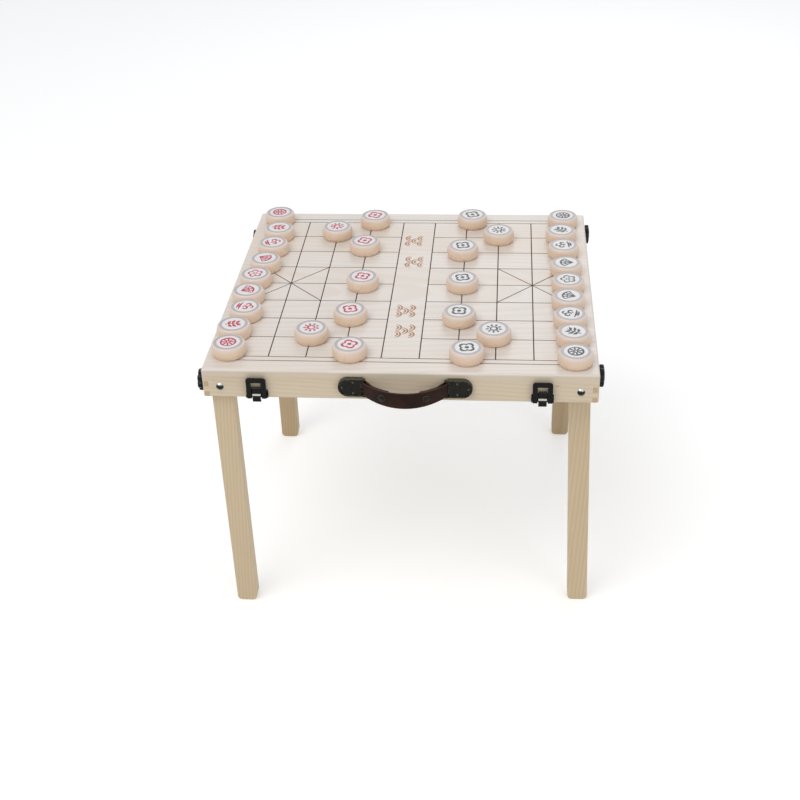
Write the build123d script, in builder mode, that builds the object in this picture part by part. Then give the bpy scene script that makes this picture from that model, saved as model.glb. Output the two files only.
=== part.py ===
"""Folding xiangqi table-case: two shallow trays hinged along the middle of the board.

Frame: X runs left to right, Y front to back, Z up.  The floor is at Z = 0, the whole
object's box is centred on X = Y = 0, and every size is in millimetres.
"""

from build123d import *
import os
from math import acos, asin, atan2, cos, degrees, sin

os.makedirs("parts", exist_ok=True)

# --- Case ------------------------------------------------------------------------
case_width = 497.0  # left to right, over the side walls
half_depth = 234.0  # front to back of one tray
case_height = 40.0  # one tray, from playing surface to rim
table_height = 388.0  # floor to playing surface
panel_thickness = 10.0
wall_thickness = 8.0
finger_count = 4  # box-joint fingers in the height of a wall, the top one a cross wall's
corner_radius = 3.0
top_edge_radius = 3.0
rim_edge_radius = 1.0

# --- Board -----------------------------------------------------------------------
rank_pitch = 48.0  # spacing of the ten lines that run front to back
file_pitch = 50.0  # spacing of the nine lines that run left to right
border_gap = 9.7  # from the outermost board line to the border line
groove_width = 1.5
groove_depth = 0.6

# --- Playing pieces --------------------------------------------------------------
piece_diameter = 45.0
piece_height = 17.0
piece_edge_radius = 2.6
piece_face_radius = 19.4
piece_belly = 0.9  # how far the side swells past its top and bottom edges

# --- Legs and their pivots -------------------------------------------------------
leg_width = 27.0
leg_thickness = 20.0
leg_side_gap = 0.8  # side wall to the leg beside it
leg_splay = 2.0  # degrees the front right leg leans outwards, as far as the wall lets it
pivot_drop = 25.0  # playing surface to pivot axis
leg_gap = 0.5  # cross wall to the leg beside it
leg_row_gap = 1.0  # between the two legs that fold side by side
foot_corner_radius = 7.0
bolt_radius = 2.5
bolt_head_radius = 4.75
bolt_head_height = 2.6
nut_across_flats = 8.0
nut_height = 4.0
spacer_radius = 6.0
running_clearance = 0.05
side_clearance = 0.3

# --- Clamping knobs --------------------------------------------------------------
stud_radius = 3.0
insert_radius = 4.5
knob_radius = 14.7
knob_lobe_count = 7
knob_lobe_radius = 3.8
knob_thickness = 7.2
knob_dome_rise = 2.6
knob_boss_radius = 7.0
knob_boss_height = 1.2
knob_socket_depth = 6.0
knob_wall_gap = 0.4
knob_dimple_radius = 4.2
knob_dimple_depth = 0.6

# --- Butt hinges on the seam -----------------------------------------------------
hinge_spacing = 300.0
hinge_length = 40.0
hinge_leaf_height = 15.0
hinge_leaf_thickness = 1.2
hinge_leaf_sink = 0.1  # how far the leaves lie below the faces that meet at the seam
knuckle_radius = 3.0
knuckle_clearance = 0.4
knuckle_gap = 0.2
hinge_pin_radius = 1.2
hinge_pin_head = 0.6

# --- Screws ----------------------------------------------------------------------
screw_radius = 1.3
screw_head_radius = 2.5
screw_head_height = 1.1
screw_length = 7.0
screw_spacing = 14.0
pan_head_radius = 2.1
pan_head_height = 0.9

# --- Toggle latches on the front wall --------------------------------------------
latch_offset_x = 179.0
latch_base_width = 28.0
latch_base_height = 11.0
latch_plate = 1.0
latch_base_rim_gap = 0.6
latch_lever_width = 25.0
latch_lever_top = 8.5  # playing surface to the lever's top edge
latch_lever_plate = 1.2
latch_lever_corner = 4.0
latch_lever_foot_corner = 1.2
latch_window_width = 12.6
latch_window_top = 15.5  # playing surface to the window's top edge
latch_pivot_rise = 3.5  # rim to the lever's pivot
latch_pivot_out = 3.6  # wall to the lever's pivot
latch_pin_radius = 1.1
latch_lever_tail = 1.9  # how far the lever reaches past its pivot
latch_hook_pin_rise = 11.6  # lever pivot to hook pin
latch_hook_width = 10.4
latch_hook_step = 1.7
latch_hook_below_rim = 2.0
latch_hook_grip = 2.0  # how far the hook's tip reaches behind the keeper's lip
latch_eye_radius = 2.1
latch_ear_gap = 0.3
keeper_width = 16.0
keeper_height = 12.0
keeper_reach = 6.0

# --- Carrying handle -------------------------------------------------------------
handle_offset_x = 8.5
handle_drop = 20.0  # playing surface to the middle of the end plates
handle_length = 168.0  # over the end plates
plate_length = 31.0
plate_height = 25.6
plate_depth = 7.0
plate_rim = 2.0
plate_recess = 0.9
plate_notch_length = 2.0
plate_lug_height = 2.0
plate_lug_radius = 2.0
bar_radius = 1.25
bar_beyond = 2.0  # inner edge of the plate to the bar's axis
bar_out = 5.0  # wall to the bar's axis
strap_reach = 28.0  # wall to the strap's outer face at the middle
strap_thickness = 3.0
strap_lining = 1.8  # the end of the strap folded back behind itself
strap_lining_share = 0.66  # part of each half arc that is doubled
strap_end_height = 18.4
strap_mid_height = 22.5
strap_sag = 5.0
strap_eye_radius = 3.1
strap_play = 1.5  # how far the strap can be drawn off its bars
rivet_cap_radius = 4.9
rivet_cap_height = 1.6
rivet_washer = 0.8
rivet_shank_radius = 1.5
rivet_offset = 27.5  # middle of the strap to each rivet
nail_head_radius = 1.3
nail_head_height = 0.6
nail_radius = 0.8
nail_length = 13.0

# --- Worked out from the sizes above ---------------------------------------------
seam_y = (strap_reach - keeper_reach) / 2  # centres the whole object on Y = 0
rim_z = table_height - case_height
panel_z = table_height - panel_thickness
half_width = case_width / 2
wall_height = case_height - panel_thickness
finger_height = wall_height / finger_count
board_half_x = 4.5 * rank_pitch
board_half_y = 4 * file_pitch
groove_floor_z = table_height - groove_depth
pivot_x = half_width - wall_thickness - leg_side_gap - leg_width / 2
pivot_z = table_height - pivot_drop
outer_row = wall_thickness + leg_gap + leg_thickness / 2
inner_row = outer_row + leg_thickness + leg_row_gap
latch_pivot_z = rim_z + latch_pivot_rise
latch_hook_pin_z = latch_pivot_z + latch_hook_pin_rise
handle_z = table_height - handle_drop
bar_from_middle = handle_length / 2 - plate_length - bar_beyond
strap_bow = strap_reach - bar_out
strap_radius = (bar_from_middle**2 + strap_bow**2 - strap_eye_radius**2) / (
    2 * (strap_bow - strap_eye_radius)
)
strap_centre = strap_reach - strap_radius  # how far the arc's centre lies outside the wall
rivet_z = handle_z - strap_sag * (1 - (rivet_offset / bar_from_middle) ** 2)
rivet_cap_sphere = (rivet_cap_radius**2 + rivet_cap_height**2) / (2 * rivet_cap_height)
strap_bow_behind_rivet = rivet_cap_radius**2 / (2 * (strap_radius - strap_thickness))
rivet_grip = strap_thickness + strap_lining + strap_bow_behind_rivet

halves = {"front": -1, "rear": 1}
hands = {"left": -1, "right": 1}


def outer_face(side):
    """Y of a tray's outer face: side is -1 for the front tray and 1 for the rear one."""
    return seam_y + side * half_depth


def face_plane(side, y):
    """Plane at the given Y that looks out of the tray, with Z upwards."""
    return Plane(origin=(0, y, 0), x_dir=(-side, 0, 0), z_dir=(0, side, 0))


def leg_depth(side, hand):
    """Outer face to a leg's middle: the two trays are one tray turned end for end."""
    return outer_row if side == hand else inner_row


def side_plane(hand, x):
    """Plane at the given X that looks out of a side wall, with Z upwards."""
    return Plane(origin=(x, 0, 0), x_dir=(0, hand, 0), z_dir=(hand, 0, 0))


def finish(builder, name):
    """Name a finished piece and write it to its own file."""
    builder.part.label = name
    export_step(builder.part, f"parts/{name}.step")


def countersunk_screws(points, turn, mode=Mode.ADD):
    """Countersunk screws, their heads flush with the given points."""
    with Locations(*[Location(point, turn) for point in points]):
        Cone(
            screw_radius,
            screw_head_radius,
            screw_head_height,
            align=(Align.CENTER, Align.CENTER, Align.MAX),
            mode=mode,
        )
        Cylinder(
            screw_radius,
            screw_length,
            align=(Align.CENTER, Align.CENTER, Align.MAX),
            mode=mode,
        )


def pins(points, turn, radius, length, mode=Mode.ADD):
    """Plain round pins that run back from the given points."""
    with Locations(*[Location(point, turn) for point in points]):
        Cylinder(
            radius, length, align=(Align.CENTER, Align.CENTER, Align.MAX), mode=mode
        )


def heads(points, turn, radius, height):
    """Low domed heads that stand on the given points."""
    sphere_radius = (radius**2 + height**2) / (2 * height)
    with Locations(*[Location(point, turn) for point in points]):
        Sphere(
            sphere_radius,
            arc_size1=degrees(acos(radius / sphere_radius)),
            align=(Align.CENTER, Align.CENTER, Align.MIN),
        )


turn_out = {-1: (90, 0, 0), 1: (-90, 0, 0)}  # +Z turned to face -Y or +Y

# --- Points shared by screws and the holes they sit in ---------------------------
screw_rows = [-screw_spacing, 0, screw_spacing]
hinge_x = [-hinge_spacing / 2, hinge_spacing / 2]
hinge_screw_z = rim_z + hinge_leaf_height * 0.62
hinge_screw_x = [x + row for x in hinge_x for row in screw_rows]
hinge_leaf_depth = hinge_leaf_sink + hinge_leaf_thickness
latch_x = {"left": -latch_offset_x, "right": latch_offset_x}
latch_screw_x = [x + dx for x in latch_x.values() for dx in (-3.6, 3.6)]
latch_screw_z = rim_z + latch_base_rim_gap + latch_base_height - 3.0
latch_screw_y = outer_face(-1) - latch_plate
keeper_screw_x = [x + dx for x in latch_x.values() for dx in (-4.2, 4.2)]
keeper_screw_z = rim_z + keeper_height - 3.4
keeper_screw_y = outer_face(1) + latch_plate
nail_front_y = outer_face(-1) - plate_depth + plate_recess
nail_u = [
    (handle_length / 2 - 5.0, 0.0),
    (handle_length / 2 - 19.0, 7.8),
    (handle_length / 2 - 19.0, -7.8),
]
nail_points = [
    (handle_offset_x + hand * u, nail_front_y, handle_z + v)
    for hand in hands.values()
    for u, v in nail_u
]
nail_wall_depth = nail_length - (plate_depth - plate_recess)


def hinge_screw_points(side):
    """Middles of the screw heads in one tray's hinge leaves."""
    return [(x, seam_y + side * hinge_leaf_sink, hinge_screw_z) for x in hinge_screw_x]


def half_outline(side):
    """Plan of one tray with its two outer corners rounded."""
    with BuildSketch() as outline:
        with Locations((0, seam_y + side * half_depth / 2)):
            Rectangle(case_width, half_depth)
        corners = outline.vertices().group_by(Axis.Y)[-1 if side > 0 else 0]
        fillet(corners, corner_radius)
    return outline.sketch


def tray_envelope(side):
    """Outer shape of one tray, softened along every edge that does not meet the seam."""
    with BuildPart() as envelope:
        with BuildSketch(Plane.XY.offset(rim_z)):
            add(half_outline(side))
        extrude(amount=case_height)
        for index, radius in ((-1, top_edge_radius), (0, rim_edge_radius)):
            around = envelope.faces().sort_by(Axis.Z)[index].edges()
            outer = around.filter_by(lambda edge: abs(edge.center().Y - seam_y) > 1)
            fillet(outer, radius)
    return envelope.part


def groove(start, end):
    """One engraved line, squared off half its width past both ends."""
    run = Vector(*end) - Vector(*start)
    middle = Vector(*start) + run / 2
    with Locations((middle.X, middle.Y)):
        Rectangle(
            run.length + groove_width,
            groove_width,
            rotation=degrees(atan2(run.Y, run.X)),
        )


def board_grooves(side):
    """The lines engraved on one half of the board."""
    edge_y = seam_y + side * board_half_y
    for rank in range(10):
        x = (rank - 4.5) * rank_pitch
        groove((x, seam_y), (x, edge_y))
    for file in range(4):
        y = seam_y + side * file * file_pitch
        for hand in hands.values():
            groove((hand * board_half_x, y), (hand * rank_pitch / 2, y))
    groove((-board_half_x, edge_y), (board_half_x, edge_y))
    border_x = board_half_x + border_gap
    border_y = seam_y + side * (board_half_y + border_gap)
    groove((-border_x, border_y), (border_x, border_y))
    for hand in hands.values():
        groove((hand * border_x, seam_y), (hand * border_x, border_y))
        palace_y = seam_y + side * file_pitch
        crossing_x = hand * (board_half_x - rank_pitch)
        for end_x in (hand * board_half_x, hand * (board_half_x - 2 * rank_pitch)):
            groove((crossing_x, seam_y), (end_x, palace_y))


# === Trays =======================================================================
for half, side in halves.items():
    face_y = outer_face(side)
    middle_y = seam_y + side * half_depth / 2

    with BuildPart() as panel:
        add(tray_envelope(side))
        with BuildSketch(Plane.XY.offset(rim_z)):
            with Locations((0, middle_y)):
                Rectangle(case_width, half_depth)
        extrude(amount=wall_height, mode=Mode.SUBTRACT)
        with BuildSketch(Plane.XY.offset(table_height)):
            board_grooves(side)
        extrude(amount=-groove_depth, mode=Mode.SUBTRACT)
    finish(panel, f"{half}_panel")

    for name, wall_face, inward in (
        (f"{half}_wall", face_y, -side),
        (f"{half}_seam_wall", seam_y, side),
    ):
        at_seam = wall_face == seam_y
        wall_middle = wall_face + inward * wall_thickness / 2
        with BuildPart() as cross_wall:
            with BuildSketch(Plane.XY.offset(rim_z)):
                with Locations((0, wall_middle)):
                    Rectangle(case_width, wall_thickness)
            extrude(amount=wall_height)
            for finger in range(1, finger_count, 2):
                finger_z = panel_z - (finger + 0.5) * finger_height
                with Locations(
                    *[
                        (hand * (half_width - wall_thickness / 2), wall_middle, finger_z)
                        for hand in hands.values()
                    ]
                ):
                    Box(wall_thickness, wall_thickness, finger_height, mode=Mode.SUBTRACT)
            add(tray_envelope(side), mode=Mode.INTERSECT)
            if at_seam:
                with Locations(*[(x, seam_y, rim_z) for x in hinge_x]):
                    Box(
                        hinge_length,
                        2 * hinge_leaf_depth,
                        2 * hinge_leaf_height,
                        mode=Mode.SUBTRACT,
                    )
                with Locations(*[Location((x, seam_y, rim_z), (0, 90, 0)) for x in hinge_x]):
                    Cylinder(
                        knuckle_radius + knuckle_clearance,
                        hinge_length + 2 * hinge_pin_head + 2 * knuckle_gap,
                        mode=Mode.SUBTRACT,
                    )
                countersunk_screws(hinge_screw_points(side), turn_out[-side], Mode.SUBTRACT)
            else:
                pins(
                    [(hand * pivot_x, face_y, pivot_z) for hand in hands.values()],
                    turn_out[side],
                    bolt_radius,
                    wall_thickness,
                    Mode.SUBTRACT,
                )
            if name == "front_wall":
                pins(
                    [(x, latch_screw_y, latch_screw_z) for x in latch_screw_x],
                    turn_out[side],
                    screw_radius,
                    screw_length,
                    Mode.SUBTRACT,
                )
                pins(
                    [(x, face_y, z) for x, _, z in nail_points],
                    turn_out[side],
                    nail_radius,
                    nail_wall_depth,
                    Mode.SUBTRACT,
                )
            if name == "rear_wall":
                pins(
                    [(x, keeper_screw_y, keeper_screw_z) for x in keeper_screw_x],
                    turn_out[side],
                    screw_radius,
                    screw_length,
                    Mode.SUBTRACT,
                )
        finish(cross_wall, name)

    for handed, hand in hands.items():
        wall_x = hand * (half_width - wall_thickness / 2)
        with BuildPart() as side_wall:
            with BuildSketch(Plane.XY.offset(rim_z)):
                with Locations((wall_x, middle_y)):
                    Rectangle(wall_thickness, half_depth)
            extrude(amount=wall_height)
            for finger in range(0, finger_count, 2):
                finger_z = panel_z - (finger + 0.5) * finger_height
                with Locations(
                    (wall_x, face_y - side * wall_thickness / 2, finger_z),
                    (wall_x, seam_y + side * wall_thickness / 2, finger_z),
                ):
                    Box(wall_thickness, wall_thickness, finger_height, mode=Mode.SUBTRACT)
            add(tray_envelope(side), mode=Mode.INTERSECT)
            knob_y = face_y - side * leg_depth(side, hand)
            with BuildSketch(side_plane(hand, hand * half_width)):
                with Locations((hand * knob_y, pivot_z)):
                    Circle(insert_radius)
            extrude(amount=-wall_thickness, mode=Mode.SUBTRACT)
        finish(side_wall, f"{half}_{handed}_wall")

# === Legs, pivots and clamping knobs =============================================
for half, side in halves.items():
    face_y = outer_face(side)
    inner_y = face_y - side * wall_thickness

    for handed, hand in hands.items():
        leg_y = face_y - side * leg_depth(side, hand)
        splay = leg_splay if (half, handed) == ("front", "right") else 0
        with BuildPart() as leg:
            with BuildSketch(Plane.XZ.offset(-leg_y)) as leg_outline:
                with Locations(Location((hand * pivot_x, pivot_z, 0), (0, 0, hand * splay))):
                    Rectangle(leg_width, pivot_z, align=(Align.CENTER, Align.MAX))
                foot_corners = leg_outline.vertices().sort_by(Axis.Y)[:2]
                fillet(foot_corners, foot_corner_radius)
                with Locations((hand * pivot_x, pivot_z)):
                    Circle(leg_width / 2)
                    Circle(bolt_radius + running_clearance, mode=Mode.SUBTRACT)
            extrude(amount=leg_thickness / 2, both=True)
        finish(leg, f"{half}_{handed}_leg")

    bolt_points = [(hand * pivot_x, face_y, pivot_z) for hand in hands.values()]
    nut_inset = leg_thickness / 2 + side_clearance
    nut_y = {
        handed: face_y - side * (leg_depth(side, hand) + nut_inset)
        for handed, hand in hands.items()
    }

    with BuildPart() as pivot_bolts:
        heads(bolt_points, turn_out[side], bolt_head_radius, bolt_head_height)
        for handed, hand in hands.items():
            shank = abs(nut_y[handed] - face_y) + nut_height + bolt_radius / 2
            pins([(hand * pivot_x, face_y, pivot_z)], turn_out[side], bolt_radius, shank)
    finish(pivot_bolts, f"{half}_pivot_bolts")

    with BuildPart() as pivot_nuts:
        for handed, hand in hands.items():
            with BuildSketch(face_plane(side, nut_y[handed])):
                with Locations((-side * hand * pivot_x, pivot_z)):
                    RegularPolygon(nut_across_flats / 2, 6, major_radius=False)
                    Circle(bolt_radius, mode=Mode.SUBTRACT)
            extrude(amount=-nut_height)
    finish(pivot_nuts, f"{half}_pivot_nuts")

    with BuildPart() as leg_spacer:
        with BuildSketch(face_plane(side, inner_y)):
            with Locations((pivot_x, pivot_z)):
                Circle(spacer_radius)
                Circle(bolt_radius, mode=Mode.SUBTRACT)
        extrude(amount=-(leg_thickness + leg_row_gap + leg_gap - side_clearance))
    finish(leg_spacer, f"{half}_leg_spacer")

    with BuildPart() as knob_inserts:
        for handed, hand in hands.items():
            knob_y = face_y - side * leg_depth(side, hand)
            with BuildSketch(side_plane(hand, hand * half_width)):
                with Locations((hand * knob_y, pivot_z)):
                    Circle(insert_radius)
                    Circle(stud_radius + running_clearance, mode=Mode.SUBTRACT)
            extrude(amount=-wall_thickness)
    finish(knob_inserts, f"{half}_knob_inserts")

    for handed, hand in hands.items():
        knob_v = (hand * (face_y - side * leg_depth(side, hand)), pivot_z)
        boss_x = hand * (half_width + knob_wall_gap)
        back_x = boss_x + hand * knob_boss_height
        crown_x = back_x + hand * knob_thickness
        stud_tip_x = hand * (pivot_x + leg_width / 2 + side_clearance)
        socket_x = boss_x + hand * knob_socket_depth

        with BuildPart() as stud:
            with BuildSketch(side_plane(hand, stud_tip_x)):
                with Locations(knob_v):
                    Circle(stud_radius)
            extrude(amount=abs(socket_x - stud_tip_x) - running_clearance)
        finish(stud, f"{half}_{handed}_stud")

        with BuildPart() as knob:
            with BuildSketch(side_plane(hand, back_x)):
                with Locations(knob_v):
                    Circle(knob_radius - knob_lobe_radius * 0.55)
                    with PolarLocations(knob_radius - knob_lobe_radius, knob_lobe_count):
                        Circle(knob_lobe_radius)
            extrude(amount=knob_thickness)
            dome = (knob_radius**2 + knob_dome_rise**2) / (2 * knob_dome_rise)
            with Locations((crown_x - hand * dome, hand * knob_v[0], pivot_z)):
                Sphere(dome, mode=Mode.INTERSECT)
            with BuildSketch(side_plane(hand, boss_x)):
                with Locations(knob_v):
                    Circle(knob_boss_radius)
            extrude(amount=knob_boss_height)
            with BuildSketch(side_plane(hand, boss_x)):
                with Locations(knob_v):
                    Circle(stud_radius + running_clearance)
            extrude(amount=knob_socket_depth, mode=Mode.SUBTRACT)
            with BuildSketch(side_plane(hand, crown_x)):
                with Locations(knob_v):
                    Circle(knob_dimple_radius)
            extrude(amount=-knob_dimple_depth, mode=Mode.SUBTRACT)
        finish(knob, f"{half}_{handed}_knob")

# === Hinges ======================================================================
knuckle_third = hinge_length / 3
knuckle_spans = {
    -1: [(-hinge_length / 2, -knuckle_third / 2), (knuckle_third / 2, hinge_length / 2)],
    1: [(-knuckle_third / 2 + knuckle_gap, knuckle_third / 2 - knuckle_gap)],
}


def knuckle_cylinders(spans, radius, extra, mode=Mode.ADD):
    """Cylinders on the hinge axis over the given lengths of each hinge."""
    for x in hinge_x:
        for start, end in spans:
            with Locations(Location((x + (start + end) / 2, seam_y, rim_z), (0, 90, 0))):
                Cylinder(radius, end - start + 2 * extra, mode=mode)


for half, side in halves.items():
    bore = hinge_pin_radius + (running_clearance if side > 0 else 0)
    with BuildPart() as hinge_leaves:
        leaf_y = seam_y + side * (hinge_leaf_sink + hinge_leaf_thickness / 2)
        with Locations(*[(x, leaf_y, rim_z + hinge_leaf_height / 2) for x in hinge_x]):
            Box(hinge_length, hinge_leaf_thickness, hinge_leaf_height)
        knuckle_cylinders(
            knuckle_spans[-side],
            knuckle_radius + knuckle_clearance,
            knuckle_gap,
            Mode.SUBTRACT,
        )
        knuckle_cylinders(knuckle_spans[side], knuckle_radius, 0)
        knuckle_cylinders(knuckle_spans[side], bore, knuckle_gap, Mode.SUBTRACT)
        countersunk_screws(hinge_screw_points(side), turn_out[-side], Mode.SUBTRACT)
    finish(hinge_leaves, f"{half}_hinge_leaves")

    with BuildPart() as hinge_screws:
        countersunk_screws(hinge_screw_points(side), turn_out[-side])
    finish(hinge_screws, f"{half}_hinge_screws")

with BuildPart() as hinge_pins:
    with Locations(*[Location((x, seam_y, rim_z), (0, 90, 0)) for x in hinge_x]):
        Cylinder(hinge_pin_radius, hinge_length)
    for end in (-1, 1):
        offset_x = end * (hinge_length + hinge_pin_head) / 2
        with Locations(*[Location((x + offset_x, seam_y, rim_z), (0, 90, 0)) for x in hinge_x]):
            Cylinder(hinge_pin_radius * 1.7, hinge_pin_head)
finish(hinge_pins, "hinge_pins")

# === Toggle latches ==============================================================
front_y = outer_face(-1)
lever_out = latch_pivot_out + latch_pin_radius  # wall to the back of the lever's face
lever_top_z = table_height - latch_lever_top
lever_tail_z = latch_pivot_z - latch_lever_tail
base_low_z = rim_z + latch_base_rim_gap
ear_x = (latch_base_width - latch_plate) / 2


def out_plane(distance):
    """Plane parallel to the front wall, the given distance in front of it."""
    return face_plane(-1, front_y - distance)


def profile_plane(x):
    """Plane across the latch: local x is the distance out of the wall, y is Z."""
    return Plane(origin=(x, front_y, 0), x_dir=(0, -1, 0), z_dir=(-1, 0, 0))


for handed, x in latch_x.items():
    with BuildPart() as latch_base:
        with BuildSketch(out_plane(0)):
            with Locations((x, base_low_z + latch_base_height / 2)):
                RectangleRounded(latch_base_width, latch_base_height, 1.2)
        extrude(amount=latch_plate)
        for end in (-1, 1):
            with BuildSketch(profile_plane(x + end * ear_x)):
                with Locations((latch_pivot_out, latch_pivot_z)):
                    Circle(latch_lever_tail)
                with Locations((latch_pivot_out / 2, latch_pivot_z)):
                    Rectangle(latch_pivot_out, 2 * latch_lever_tail)
            extrude(amount=latch_plate / 2, both=True)
        with Locations(Location((x, front_y - latch_pivot_out, latch_pivot_z), (0, 90, 0))):
            Cylinder(latch_pin_radius, latch_base_width, mode=Mode.SUBTRACT)
        pins(
            [(sx, latch_screw_y, latch_screw_z) for sx in latch_screw_x],
            turn_out[-1],
            screw_radius,
            screw_length,
            Mode.SUBTRACT,
        )
    finish(latch_base, f"{handed}_latch_base")

    with BuildPart() as latch_lever:
        with BuildSketch(out_plane(lever_out)) as face:
            with Locations((x, (lever_top_z + lever_tail_z) / 2)):
                Rectangle(latch_lever_width, lever_top_z - lever_tail_z)
            fillet(face.vertices().group_by(Axis.Y)[-1], latch_lever_corner)
            fillet(face.vertices().group_by(Axis.Y)[0], latch_lever_foot_corner)
            window_top_z = table_height - latch_window_top
            with Locations((x, (window_top_z + lever_tail_z) / 2 - 1)):
                Rectangle(
                    latch_window_width, window_top_z - lever_tail_z + 2, mode=Mode.SUBTRACT
                )
        extrude(amount=latch_lever_plate)
        flange_x = (latch_lever_width - latch_plate) / 2
        flange_top_z = lever_top_z - latch_lever_corner
        flange_back = latch_pivot_out - latch_lever_tail
        for end in (-1, 1):
            with BuildSketch(profile_plane(x + end * flange_x)):
                with Locations(
                    ((flange_back + lever_out) / 2, (flange_top_z + latch_pivot_z) / 2)
                ):
                    Rectangle(lever_out - flange_back, flange_top_z - latch_pivot_z)
                with Locations((latch_pivot_out, latch_pivot_z)):
                    Circle(latch_lever_tail)
                with Locations((lever_out - latch_pin_radius / 2, latch_pivot_z)):
                    Rectangle(latch_pin_radius, 2 * latch_lever_tail)
            extrude(amount=latch_plate / 2, both=True)
        for pin_z, bore in (
            (latch_pivot_z, latch_pin_radius + running_clearance),
            (latch_hook_pin_z, latch_pin_radius),
        ):
            with Locations(Location((x, front_y - latch_pivot_out, pin_z), (0, 90, 0))):
                Cylinder(bore, latch_lever_width, mode=Mode.SUBTRACT)
    finish(latch_lever, f"{handed}_latch_lever")

    with BuildPart() as hook_pin:
        with Locations(
            Location((x, front_y - latch_pivot_out, latch_hook_pin_z), (0, 90, 0))
        ):
            Cylinder(latch_pin_radius, latch_lever_width)
    finish(hook_pin, f"{handed}_hook_pin")

    strip_back = latch_pivot_out + latch_eye_radius - latch_plate
    shoulder_z = latch_pivot_z + 4.2
    tip_z = rim_z - latch_hook_below_rim
    tip_back = keeper_reach - latch_hook_grip
    tip_out = strip_back + latch_hook_step + latch_plate
    with BuildPart() as latch_hook:
        with BuildSketch(profile_plane(x)):
            with BuildLine():
                Polyline(
                    (strip_back, latch_hook_pin_z),
                    (strip_back, shoulder_z),
                    (strip_back + latch_hook_step, shoulder_z - 1.6),
                    (strip_back + latch_hook_step, tip_z + latch_plate),
                    (tip_back, tip_z + latch_plate),
                    (tip_back, tip_z),
                    (tip_out, tip_z),
                    (tip_out, shoulder_z - 1.0),
                    (strip_back + latch_plate, shoulder_z + 0.6),
                    (strip_back + latch_plate, latch_hook_pin_z),
                    close=True,
                )
            make_face()
            with Locations((latch_pivot_out, latch_hook_pin_z)):
                Circle(latch_eye_radius)
                Circle(latch_pin_radius + running_clearance, mode=Mode.SUBTRACT)
        extrude(amount=latch_hook_width / 2, both=True)
    finish(latch_hook, f"{handed}_latch_hook")

with BuildPart() as latch_pivot_pins:
    with Locations(
        *[
            Location((x, front_y - latch_pivot_out, latch_pivot_z), (0, 90, 0))
            for x in latch_x.values()
        ]
    ):
        Cylinder(latch_pin_radius, latch_base_width)
finish(latch_pivot_pins, "latch_pivot_pins")

with BuildPart() as latch_screws:
    latch_screw_points = [(x, latch_screw_y, latch_screw_z) for x in latch_screw_x]
    heads(latch_screw_points, turn_out[-1], pan_head_radius, pan_head_height)
    pins(latch_screw_points, turn_out[-1], screw_radius, screw_length)
finish(latch_screws, "latch_screws")

rear_y = outer_face(1)
with BuildPart() as latch_keepers:
    for x in latch_x.values():
        with BuildSketch(face_plane(1, rear_y)):
            with Locations((-x, rim_z + keeper_height / 2)):
                RectangleRounded(keeper_width, keeper_height, 1.5)
        extrude(amount=latch_plate)
        with Locations((x, rear_y + keeper_reach / 2, rim_z + latch_plate / 2)):
            Box(keeper_width - 3, keeper_reach, latch_plate)
    pins(
        [(x, keeper_screw_y, keeper_screw_z) for x in keeper_screw_x],
        turn_out[1],
        screw_radius,
        screw_length,
        Mode.SUBTRACT,
    )
finish(latch_keepers, "latch_keepers")

with BuildPart() as keeper_screws:
    keeper_screw_points = [(x, keeper_screw_y, keeper_screw_z) for x in keeper_screw_x]
    heads(keeper_screw_points, turn_out[1], pan_head_radius, pan_head_height)
    pins(keeper_screw_points, turn_out[1], screw_radius, screw_length)
finish(keeper_screws, "keeper_screws")

# === Carrying handle =============================================================
for handed, hand in hands.items():
    end_x = handle_offset_x + hand * handle_length / 2
    round_x = end_x - hand * plate_height / 2
    inner_x = end_x - hand * plate_length
    with BuildPart() as handle_plate:
        with BuildSketch(out_plane(0)) as plate_outline:
            with Locations(((round_x + inner_x) / 2, handle_z)):
                Rectangle(abs(round_x - inner_x), plate_height)
            with Locations((round_x, handle_z)):
                Circle(plate_height / 2)
        extrude(amount=plate_depth)
        front_edges = handle_plate.faces().sort_by(Axis.Y)[0].edges()
        fillet(front_edges, 1.2)
        with BuildSketch(out_plane(plate_depth)):
            add(plate_outline.sketch_local)
            offset(amount=-plate_rim, mode=Mode.REPLACE)
        extrude(amount=-plate_recess, mode=Mode.SUBTRACT)
        notch_x = inner_x + hand * plate_notch_length / 2
        with Locations((notch_x, front_y - plate_depth / 2, handle_z)):
            Box(
                plate_notch_length,
                plate_depth,
                plate_height - 2 * plate_lug_height,
                mode=Mode.SUBTRACT,
            )
        bar_x = inner_x - hand * bar_beyond
        for end in (-1, 1):
            lug_face_z = handle_z + end * plate_height / 2
            with BuildSketch(Plane.XY.offset(lug_face_z)):
                with Locations((bar_x, front_y - bar_out)):
                    Circle(plate_lug_radius)
                with Locations(((bar_x + inner_x) / 2, front_y - bar_out)):
                    Rectangle(bar_beyond, 2 * plate_lug_radius)
            extrude(amount=-end * plate_lug_height)
        with Locations((bar_x, front_y - bar_out, handle_z)):
            Cylinder(bar_radius, plate_height, mode=Mode.SUBTRACT)
        pins(nail_points, turn_out[-1], nail_radius, nail_length, Mode.SUBTRACT)
    finish(handle_plate, f"{handed}_handle_plate")

with BuildPart() as handle_bars:
    with Locations(
        *[
            (handle_offset_x + hand * bar_from_middle, front_y - bar_out, handle_z)
            for hand in hands.values()
        ]
    ):
        Cylinder(bar_radius, plate_height - 0.4)
finish(handle_bars, "handle_bars")

with BuildPart() as handle_nails:
    heads(nail_points, turn_out[-1], nail_head_radius, nail_head_height)
    pins(nail_points, turn_out[-1], nail_radius, nail_length)
finish(handle_nails, "handle_nails")

strap_plane = Plane(origin=(handle_offset_x, front_y, handle_z), x_dir=(1, 0, 0), z_dir=(0, 0, -1))
strap_end_angle = degrees(atan2(bar_from_middle, bar_out - strap_centre))
lining_start = strap_end_angle * (1 - strap_lining_share)


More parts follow.
